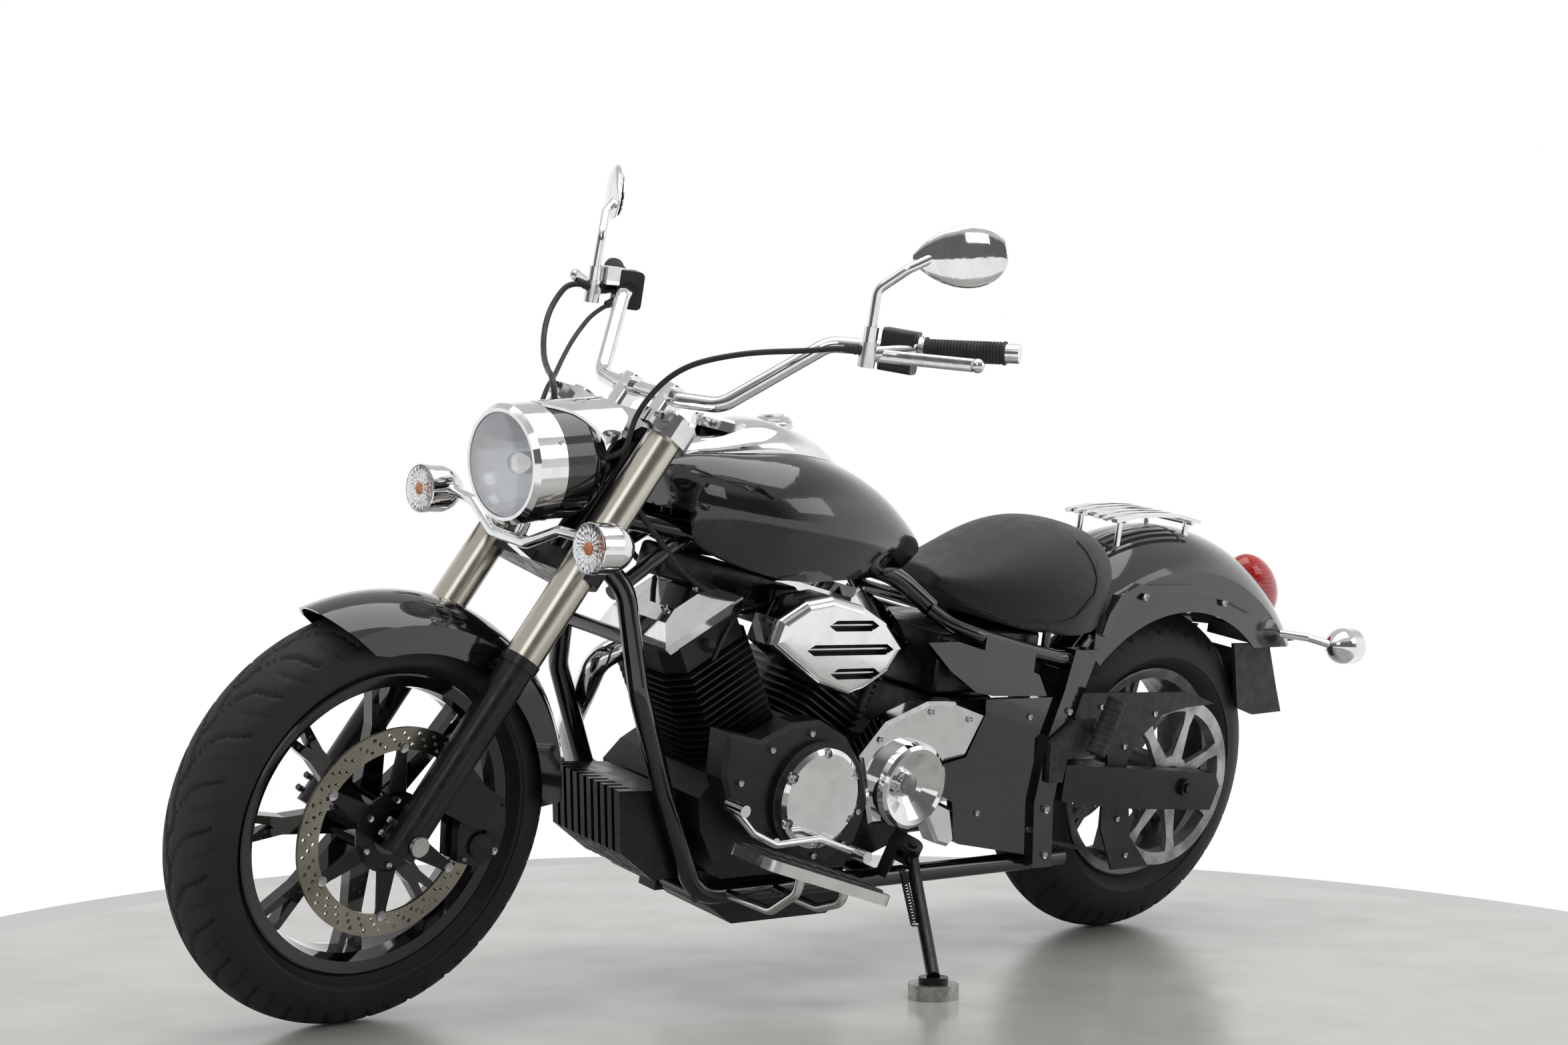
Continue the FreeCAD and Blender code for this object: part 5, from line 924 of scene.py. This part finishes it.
def addSignals(end, body, place):
    facts = signals[end]
    radius = facts["radius"]
    for sign, word in bothSides:
        seat = place @ moved(onSide(facts["spot"], sign))
        if facts["way"] < 0:
            seat = seat @ turnedBy(180, "Z")
        shape = bmesh.new()
        outline = [(0.4, 0.4), (0.4, radius), (3.4, radius + 0.4), (5.2, radius * 0.9), (6.6, radius * 0.74),
                   (7.8, radius * 0.58), (8.8, radius * 0.42), (9.6, radius * 0.26), (10.2, 0.4)]
        ring = spinOutline(shape, outline, "X", 96)
        # The lens is pressed in petals and rings
        for vert in ring:
            turn = math.atan2(vert.co.y, vert.co.z)
            if vert.co.x > 4 and math.hypot(vert.co.y, vert.co.z) > 3:
                vert.co.x -= 0.9 * (0.5 + 0.5 * math.cos(turn * 24))
        finishPiece(shape, f"{end}SignalLens{word}", body, seat, "clearRibbed", "lens", 10)
        addSpun(f"{end}SignalBulb{word}", [(0.9, 0.3), (0.9, radius * 0.30), (2.2, radius * 0.27),
                                           (3.6, radius * 0.14), (4.0, 0.3)],
                "X", 32, body, seat, "amber", "lens", 30)
        addSpun(f"{end}SignalRing{word}", [(-5, radius + 1.0), (-5, radius + 3.4), (1.2, radius + 3.2),
                                           (2.2, radius + 1.8), (0.2, radius + 0.6)],
                "X", 64, body, seat, "chrome", "chrome", 40)


addSignals("front", *onSteering)
addSignals("rear", *onChassis)
print("lamps fitted")


# Mirror glass on the backs of the heads: a dish, stretched along the head
mirror = {"inner": (1075, 354, 1259), "outer": (1000, 470, 1288), "depth": 14.9, "radius": 36.7,
          "stretch": (1, 1.52, 0.98)}


def addMirrorGlass():
    for sign, word in bothSides:
        start, end = onSide(mirror["inner"], sign), onSide(mirror["outer"], sign)
        along = (end - start).normalized()
        back = along.cross(Vector((0, 0, 1))) * sign
        back.normalize()
        if back.x > 0:
            back = -back
        up = back.cross(along).normalized()
        centre = start.lerp(end, 0.5)
        turned = Matrix((back, along, up)).transposed().to_4x4()
        seat = steerPlace @ moved(centre) @ turned
        shape = bmesh.new()
        outline = []
        for step in range(9):
            share = step / 8
            outline.append((0.4 + mirror["depth"] * math.sqrt(1 - (0.80 * share) ** 2),
                            0.3 + mirror["radius"] * share))
        outline += [(depth - 1.6, radius - 0.6) for depth, radius in outline[::-1]][:-1]
        spinOutline(shape, outline, "X", 64)
        bmesh.ops.scale(shape, vec=mirror["stretch"], verts=shape.verts)
        finishPiece(shape, f"mirrorGlass{word}", "steering", seat, "mirrorGlass", "chrome", 40)


addMirrorGlass()


# Ringed grips and the buttons on the switch housings
handles = {"inner": (1058, 312, 1117), "outer": (956, 492, 1144), "rings": 22}


def addHandles():
    for sign, word in bothSides:
        start, end = onSide(handles["inner"], sign), onSide(handles["outer"], sign)
        along = end - start
        whole = along.length
        seat = steerPlace @ moved(start) @ aimed(along.normalized())
        low, high = 0.3 * whole, 0.9 * whole
        outline = [(low, 13.2), (low, 19.5), (low + 3, 20), (low + 5, 17.4)]
        pitch = (high - low - 14) / handles["rings"]
        for step in range(handles["rings"]):
            here = low + 7 + step * pitch
            outline += [(here, 16.1), (here + 0.8, 17.3), (here + pitch - 1.6, 17.3),
                        (here + pitch - 0.8, 16.1)]
        outline += [(high - 5, 17.4), (high - 3, 18.5), (high, 18.0), (high, 13.2)]
        grip = addSpun(f"grip{word}", outline, "X", 40, "steering", seat, "rubber", "rubber", 40)
        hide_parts("grips")
        # Buttons on the side of the housing that faces the rider
        shape = bmesh.new()
        pod = 0.105 * whole
        addBlock(shape, (pod - 8, -10, 22), (13, 5, 9), bevel=1.5)
        addBlock(shape, (pod + 6, 24, 6), (16, 5, 10))
        addBlock(shape, (pod + 4, 24, -10), (9, 6, 9))
        addRod(shape, (pod - 12, 23, -8), (pod - 12, 29, -8), 5.5, taper=0.85)
        finishPiece(shape, f"switchButtons{word}", "steering", seat, "rubber", "plastic")


addHandles()

# Ribbed boots over the cords' ends at the levers
boot = {"length": 34, "ribs": 5, "thick": 8.5, "thin": 6.4}


def addBoots():
    for name, facts in cords.items():
        start, ahead = (Vector(spot) for spot in facts["points"][:2])
        seat = Matrix.Translation(start) @ aimed(ahead - start)
        bore = facts["radius"] + 0.3
        pitch = boot["length"] / boot["ribs"]
        outline = [(0, bore)]
        for step in range(boot["ribs"]):
            here = step * pitch
            fat = boot["thick"] - step * 0.4
            outline += [(here + 0.6, fat), (here + pitch * 0.55, fat), (here + pitch * 0.8, boot["thin"])]
        outline.append((boot["length"], bore))
        addSpun(f"{name}Boot", outline, "X", 28, *onSteering, "rubber", "rubber", 40, seat)


addBoots()
print("handlebar fittings made")


# Screws and bolts, one list for each group: (spot, direction, radius, height)
left = (0, 1, 0)
forward = (1, 0, 0)
upward = (0, 0, 1)


def addBolts(name, body, place, bolts, slotName):
    shape = bmesh.new()
    for bolt in bolts:
        addBolt(shape, *bolt)
    finishPiece(shape, name, body, place, "boltSteel", slotName)


def onBothSides(bolts):
    # The left's bolts, then the same on the right
    return bolts + [(onSide(spot, -1), onSide(direction, -1), radius, height)
                    for spot, direction, radius, height in bolts]


capBolts = []
for step in range(6):
    turn = math.radians(30 + 60 * step)
    capBolts.append(((947 + 77 * math.cos(turn), 188, 358 + 77 * math.sin(turn)), left, 6, 8))
addBolts("clutchCapBolts", *onChassis, capBolts, "chrome")
caseSpots = ((1050, 440), (970, 464), (1108, 388), (1104, 340), (862, 396), (846, 326), (870, 272),
             (932, 256), (1010, 282))
addBolts("caseBolts", *onChassis, [((x, 178, z), left, 6, 5) for x, z in caseSpots], "black_satin")
addBolts("fenderBolts", *onChassis,
         onBothSides([((142, 127, 683), left, 9, 7), ((-90, 127, 672), left, 9, 7)]), "chrome")
guardSpots = ((87, 462), (160, 402), (240, 480), (150, 262), (112, 190))
addBolts("guardBolts", *onChassis, [((x, 148.4, z), left, 6, 4) for x, z in guardSpots], "black_satin")
addBolts("uprightBolts", *onChassis, onBothSides([
    ((352, 171, 480), left, 7, 5), ((376, 171, 300), left, 8, 6), ((362, 171, 214), left, 7, 5),
]), "black_satin")
pulleyCoverSpots = ((812, 446), (700, 490), (606, 474))
addBolts("pulleyCoverBolts", *onChassis,
         [((x, 173.5, z), left, 6, 4.5) for x, z in pulleyCoverSpots], "chrome")
addBolts("sideCoverBolts", *onChassis, onBothSides([
    ((440, 159.5, 470), left, 6, 4), ((540, 159.5, 300), left, 6, 4), ((400, 159.5, 260), left, 6, 4),
]), "black_gloss")
addBolts("forkBolts", "steering", forkPlace, [
    ((24, 96, 12), forward, 5.5, 8), ((24, 96, -10), forward, 5.5, 8),
    ((24, -132, 12), forward, 5.5, 8), ((24, -132, -10), forward, 5.5, 8),
    *onBothSides([((44, 114, 736), left, 5, 20)]),
], "steel")
addBolts("frontFenderBolts", "steering", frontWheelPlace,
         onBothSides([((-153.7, 95.5, 245.9), left, 9, 5)]), "steel")
addBolts("clampBolts", *onSteering, onBothSides([((1120, 335, 1126), upward, 7, 5)]), "chrome")
print("bolts set")


# Engine dress
def jugPlace(sign):
    # The cylinder's own place: Z along its bore
    return chassisPlace @ moved((962, 0, 300)) @ turnedBy(30 * sign, "Y")


def addRockerDress():
    for sign, word in ((1, "Front"), (-1, "Rear")):
        spots = []
        for along in (-62, 0, 62):
            for side in (1, -1):
                spots.append(((along, side * 88.5, 378), (0, side, 0), 6, 4.5))
        for along, across in ((-34, 48), (34, 48), (-34, -48), (34, -48)):
            spots.append(((along, across, 416.6), upward, 7, 5))
        addBolts(f"rockerBolts{word}", "chassis", jugPlace(sign), spots, "chrome")
        # Spark plug boot on the head's left side
        outline = [(0, 0.4), (0, 15), (6, 15), (8, 11), (22, 10), (26, 8), (34, 7), (36, 0.4)]
        addSpun(f"plugBoot{word}", outline, "Y", 28, "chassis", jugPlace(sign), "rubber", "rubber",
                seat=Matrix.Translation((10, 82, 338)) @ turnedBy(24, "X"))


addRockerDress()


def addAirCleanerSlots():
    # Painted shade: dark sheets where the bottoms of the three openings lie in shade, with a thin bright rail
    # through each
    shape = bmesh.new()
    rails = bmesh.new()
    half, taper = 8.7, 16
    for height, start, end in ((644, 862, 972), (604, 823, 1013), (564, 846, 956)):
        outline = [(start + 1, height), (start + taper, height + half), (end - taper, height + half),
                   (end - 1, height), (end - taper, height - half), (start + taper, height - half)]
        extrudeOutline(shape, outline, 166.4, 169)
        rail = [(start + 8, height - 1.6), (end - 8, height - 1.6), (end - 8, height + 1.6),
                (start + 8, height + 1.6)]
        extrudeOutline(rails, rail, 168, 182, 0.8)
    finishPiece(shape, "airSlotShadeFloors", *onChassis, "shade", "black_satin")
    finishPiece(rails, "airSlotRails", *onChassis, "polished", "chrome")


addAirCleanerSlots()
# Grey cap in the middle of the pulley cover's dish
addSpun("pulleyDishCap", [(184.2, 0.4), (184.2, 17), (187.5, 17), (189.5, 12), (190.2, 0.4)], "Y", 48,
        *onChassis, "castGrey", "cast_grey", 30, Matrix.Translation((740, 0, 367)))
print("engine dressed")


# What fills the space under the tank and the saddle: coil box, battery box, loom and hoses
def addUnderworks():
    shape = bmesh.new()
    addBlock(shape, (1085, 0, 694), (250, 70, 52), turnedBy(-12, "Y"), 10, 3)
    addBlock(shape, (905, 0, 712), (150, 92, 46), None, 10, 3)
    addBlock(shape, (962, 0, 648), (60, 120, 70), None, 8, 3)
    finishPiece(shape, "coilBox", *onChassis, "satinBlack", "plastic")
    shape = bmesh.new()
    addBlock(shape, (520, 0, 560), (250, 236, 110), None, 8, 3)
    addBlock(shape, (560, 0, 420), (130, 236, 160), None, 8, 3)
    finishPiece(shape, "batteryBox", *onChassis, "satinBlack", "plastic")
    loom = ((1270, 40, 800), (1240, 58, 760), (1180, 66, 700), (1110, 70, 668), (1040, 74, 660))
    for name, sign, spots, radius in (
        ("loomLeft", 1, loom, 5),
        ("loomRight", -1, loom, 5),
        ("plugLeadFront", 1, ((1128, 96, 566), (1118, 104, 610), (1080, 90, 650), (1040, 60, 676)), 3.5),
        ("breatherHose", 1, ((830, 110, 640), (800, 118, 600), (790, 116, 540), (800, 104, 480)), 7),
    ):
        placed = [chassisPlace @ (onSide(spot, sign) * mm) for spot in spots]
        addTrimLine(name, placed, radius * mm, "rubber", "chassis")


addUnderworks()

# Return spring beside the stand's leg, hooked over two small pins
standSpring = {
    "start": (746.2, 204.6, 223.5),
    "end": (794.8, 298.4, 162.5),
    "legSpots": ((727.5, 214.2, 222.1), (779.8, 306.2, 161.3)),
    "turns": 18,
    "radius": 5.5,
    "wire": 1.4,
}


def addStandSpring():
    start, end = Vector(standSpring["start"]), Vector(standSpring["end"])
    along = end - start
    turned = along.to_track_quat("Z", "Y")
    spots = []
    count = standSpring["turns"] * 8
    for step in range(count + 1):
        turn = math.tau * step / 8
        coil = Vector((math.cos(turn), math.sin(turn), 0)) * standSpring["radius"]
        spots.append(chassisPlace @ ((start + along * (step / count) + turned @ coil) * mm))
    addTrimLine("standSpring", spots, standSpring["wire"] * mm, "satinBlack", "side_stand")
    shape = bmesh.new()
    for spot, leg in zip((start, end), standSpring["legSpots"]):
        addRod(shape, leg, spot, 3, sides=16)
    finishPiece(shape, "standSpringPins", "side_stand", chassisPlace, "boltSteel", "steel")


addStandSpring()


# Gauge and filler cap on the console
gauge = {"spot": (1098, 0, 938), "tilt": -9, "radius": 47, "marks": 20}
filler = {"spot": (985, 0, 948), "tilt": 6, "radius": 30}


def consoleSeat(facts):
    # A place on the console whose Y points up out of it
    return chassisPlace @ moved(facts["spot"]) @ turnedBy(facts["tilt"], "Y") @ turnedBy(90, "X")


def addGauge():
    seat = consoleSeat(gauge)
    radius = gauge["radius"]
    addSpun("gaugeBezel", [(-8, radius - 6), (-8, radius + 1), (8, radius), (12, radius - 3),
                           (12, radius - 6), (7, radius - 7)], "Y", 72,
            "chassis", seat, "chrome", "chrome", 30)
    addSpun("gaugeDial", [(0, 0.4), (0, radius - 6.5), (7, radius - 6.5), (7, 0.4)], "Y", 60,
            "chassis", seat, "dial", "plastic", 30)
    shape = bmesh.new()
    for step in range(gauge["marks"]):
        turn = math.radians(-135 + 270 * step / (gauge["marks"] - 1))
        long = 7 if step % 2 == 0 else 4
        outward = Vector((math.sin(turn), 0, -math.cos(turn)))
        spot = outward * (radius - 10 - long / 2) + Vector((0, 7.3, 0))
        addBlock(shape, spot, (1.3, 0.6, long), Matrix.Rotation(-turn, 4, "Y"), 0.2, 1)
    # The needle
    addBlock(shape, (8, 8.2, 10), (1.6, 0.8, 32), turnedBy(38, "Y"), 0.3, 1)
    finishPiece(shape, "gaugeMarks", "chassis", seat, "whiteInk", "plastic", 30)
    addSpun("gaugeGlass", [(9.6, 0.4), (9.6, radius - 6.2), (10.4, radius - 6.2), (11.6, radius * 0.5),
                           (12, 0.4)], "Y", 60, "chassis", seat, "clear", "lens", 30)


def addFiller():
    radius = filler["radius"]
    shape = bmesh.new()
    spinOutline(shape, [(-6, 0.4), (-6, radius + 3), (3, radius + 2), (5, radius), (9, radius - 2),
                        (11, radius - 6), (11.5, 0.4)], "Y", 64)
    addBlock(shape, (0, 12.4, 0), (2 * radius - 22, 4, 9), bevel=1.5)
    finishPiece(shape, "fillerCap", "chassis", consoleSeat(filler), "polished", "chrome", 30)


addGauge()
addFiller()


# Floorboard mats, and the rubber ends and rings of the passenger pegs
boards = {"corner": (912, 250, 219), "pitch": -17, "length": 288, "width": 112, "ribs": 9}


def roundedOutline(low, high, near, far, corner, steps=5):
    outline = []
    for (x, y), start in (((high - corner, far - corner), 0), ((low + corner, far - corner), 90),
                          ((low + corner, near + corner), 180), ((high - corner, near + corner), 270)):
        for step in range(steps + 1):
            turn = math.radians(start + 90 * step / steps)
            outline.append((x + corner * math.cos(turn), y + corner * math.sin(turn)))
    return outline


def addMats():
    for sign, word in bothSides:
        seat = (chassisPlace @ Matrix.Diagonal((1, sign, 1, 1)) @ moved(boards["corner"])
                @ turnedBy(boards["pitch"], "Y"))
        shape = bmesh.new()
        # extrudeOutline draws standing outlines, so the mat is laid flat once it is drawn
        outline = roundedOutline(12, boards["length"] - 12, 10, boards["width"] - 10, 20)
        extrudeOutline(shape, outline, 0, 4, 1.2)
        for step in range(boards["ribs"]):
            here = 34 + step * (boards["length"] - 68) / (boards["ribs"] - 1)
            bar = roundedOutline(here - 6, here + 6, 24, boards["width"] - 24, 5, 3)
            extrudeOutline(shape, bar, 3.5, 7.5, 1.0, 1)
        flat = Matrix(((1, 0, 0, 0), (0, 0, 1, 0), (0, 1, 0, 18), (0, 0, 0, 1)))
        bmesh.ops.transform(shape, matrix=flat, verts=shape.verts)
        finishPiece(shape, f"boardMat{word}", "chassis", seat, "rubber", "rubber", 30)


addMats()


peg = {"start": (304, 207, 412), "end": (268, 207, 504), "rings": 7, "firstRing": 14, "pitch": 11.5}


def addPegEnds():
    for sign, word in bothSides:
        start, end = onSide(peg["start"], sign), onSide(peg["end"], sign)
        along = (end - start).normalized()
        shape = bmesh.new()
        for spot, way in ((start, -1), (end, 1)):
            seat = Matrix.Translation(spot) @ aimed(along * way)
            spinOutline(shape, [(-1, 0.4), (-1, 18.6), (3, 18.6), (5, 15), (6, 0.4)], "X", 32, seat)
        for step in range(peg["rings"]):
            seat = Matrix.Translation(start + along * (peg["firstRing"] + step * peg["pitch"])) @ aimed(along)
            spinOutline(shape, [(-2.5, 16.6), (-2, 18.4), (2, 18.4), (2.5, 16.6)], "X", 32, seat)
        finishPiece(shape, f"pegRings{word}", *onChassis, "rubber", "rubber", 30)


addPegEnds()
print("footrests dressed")


# Calipers: round piston covers and a cover plate
def addCaliperDress():
    shape = bmesh.new()
    for up in (-26, 26):
        spinOutline(shape, [(0, 0.4), (0, 21), (5, 21), (8, 18), (8.8, 0.4)], "Y", 40,
                    Matrix.Translation((-147, 100, up)))
    addBlock(shape, (-160, 104, 0), (18, 8, 80), bevel=3)
    finishPiece(shape, "frontCaliperFace", "steering", frontWheelPlace, "satinBlack", "black_satin")
    addBolts("frontCaliperBolts", "steering", frontWheelPlace, [
        ((-170, 100, 34), left, 7, 9), ((-170, 100, -34), left, 7, 9), ((-118, 100, 44), left, 4, 7),
        ((-118, 100, -44), left, 4, 7),
    ], "steel")
    addSpun("rearCaliperFace", [(0, 0.4), (0, 19), (5, 19), (8, 16), (8.6, 0.4)], "Y", 36,
            *onChassis, "satinBlack", "black_satin",
            seat=Matrix.Translation((112, -128, 432)) @ turnedBy(180, "Z"))


addCaliperDress()


# Exhaust clamps, and painted shade inside the tip: a dark disc where the pipe's inside lies in shade
muffler = {"front": (650, -226, 232), "back": (-230, -236, 262), "bands": (40, 430, 840), "tip": 872}


def addExhaustDress():
    shape = bmesh.new()
    start = Vector(muffler["front"])
    along = (Vector(muffler["back"]) - start).normalized()
    for reach in muffler["bands"]:
        spinOutline(shape, [(-7, 46.5), (-7, 48.6), (-5, 49.6), (5, 49.6), (7, 48.6), (7, 46.5)], "X", 64,
                    Matrix.Translation(start + along * reach) @ aimed(along))
    finishPiece(shape, "mufflerBands", *onChassis, "polished", "chrome", 30)
    # painted shade: a dark disc across the inside of the tip
    addSpun("mufflerShadeDisc", [(0, 0.4), (0, 38.5), (1.5, 38.5), (1.5, 0.4)], "X", 48, *onChassis,
            "shade", "black_satin", 30, Matrix.Translation(start + along * muffler["tip"]) @ aimed(along))


addExhaustDress()
print("running gear dressed")


# Studio: round pale floor with a thin wall edge, soft boxes and a white room
studio = {
    "floor": 7.5,
    "disc": (0.79, 0.19),      # the round floor's middle, from under the rear axle
    "discRadius": 1.62,
    "edge": 0.13,
    "grey": (0.47, 0.46, 0.432),
    "edgeGrey": (0.70, 0.70, 0.69),
    "key": 62,
    "fill": 13,
}


def addFloor():
    shape = bmesh.new()
    bmesh.ops.create_circle(shape, cap_ends=True, segments=96, radius=studio["floor"])
    mesh = bpy.data.meshes.new("studioFloor")
    shape.to_mesh(mesh)
    shape.free()
    linked("studioFloor", mesh)
    paint = Finish("floorPaint", studio["grey"], 0.3)
    across, along, _ = paint.parts()
    origin = chassisPlace.translation
    across = across - (origin.x + studio["disc"][0])
    along = along - (origin.y + studio["disc"][1])
    away = (across * across + along * along).called("SQRT")
    worn = paint.noise(1.6, 3) * 0.5 + paint.noise(14, 2) * 0.5
    darker = tuple(value * 0.93 for value in studio["grey"])
    paint.colored(paint.ranged(worn, 0.35, 0.65, 0, 1), darker, studio["grey"])
    paint.rough(paint.ranged(paint.noise(5, 2), 0.3, 0.7, 0.20, 0.27))
    # Past the disc's thin wall edge the floor becomes the white background itself
    inside = studio["discRadius"]
    outside = inside + studio["edge"]
    edge = paint.node("ShaderNodeBsdfDiffuse", None, {"Color": (*studio["edgeGrey"], 1)})
    glow = paint.node("ShaderNodeEmission", None, {"Color": (1, 1, 1, 1), "Strength": 1.0})
    output = next(node for node in paint.tree.nodes if node.type == "OUTPUT_MATERIAL")
    wall = paint.node("ShaderNodeMixShader", None, {0: paint.ranged(away, outside - 0.004, outside, 0, 1)})
    mixed = paint.node("ShaderNodeMixShader", None, {0: paint.ranged(away, inside - 0.004, inside, 0, 1)})
    paint.tree.links.new(edge.outputs[0], wall.inputs[1])
    paint.tree.links.new(glow.outputs[0], wall.inputs[2])
    paint.tree.links.new(paint.shader.outputs[0], mixed.inputs[1])
    paint.tree.links.new(wall.outputs[0], mixed.inputs[2])
    paint.tree.links.new(mixed.outputs[0], output.inputs[0])
    mesh.materials.append(paint.material)


def addSoftBox(name, spot, target, size, power):
    data = bpy.data.lights.new(name, "AREA")
    data.shape = "RECTANGLE"
    data.size, data.size_y = size
    data.energy = power
    linked(name, data).matrix_world = Matrix.Translation(spot) @ towards(Vector(spot) - Vector(target))


def addRoom():
    world = bpy.data.worlds.new("whiteRoom")
    bpy.context.scene.world = world
    world.use_nodes = True
    tree = world.node_tree
    tree.nodes.clear()
    room = Finish.__new__(Finish)
    room.tree = tree
    room.spots = room.node("ShaderNodeTexCoord").outputs["Generated"]
    across, along, up = room.parts()
    # The wall behind the motorcycle is white, the open side of the room dark, the ceiling pale
    openSide = across * 0.70 + along * 0.71
    wall = room.ranged(openSide, -0.15, 0.5, 1.0, 0.14)
    ceiling = room.ranged(up, 0.38, 0.62, 0, 1)
    shown = wall * (1 - ceiling) + ceiling * 0.62
    path = room.node("ShaderNodeLightPath")
    seen = Wire(room, path.outputs["Is Camera Ray"])
    through = Wire(room, path.outputs["Is Transmission Ray"])
    mirrored = Wire(room, path.outputs["Is Glossy Ray"])
    plain = (seen + through).clamped()
    soft = room.ranged(up, -0.3, 0.6, 0.34, 0.56)
    strength = plain + (1 - plain) * (mirrored * shown + (1 - mirrored) * soft)
    glow = room.node("ShaderNodeBackground", None, {"Color": (1, 1, 1, 1), "Strength": strength})
    output = room.node("ShaderNodeOutputWorld")
    tree.links.new(glow.outputs[0], output.inputs[0])


addFloor()
addRoom()
addSoftBox("overhead", (0.1, 0.3, 3.4), (0, 0, 0.5), (4.2, 2.4), studio["key"])
addSoftBox("frontLeft", (3.2, 2.6, 2.6), (0.2, 0, 0.5), (1.6, 1.6), studio["fill"])
addSoftBox("rearLeft", (-2.6, 3.0, 2.2), (0, 0, 0.5), (1.8, 1.6), studio["fill"])
bpy.context.scene.view_settings.view_transform = "Standard"
print("studio lit")
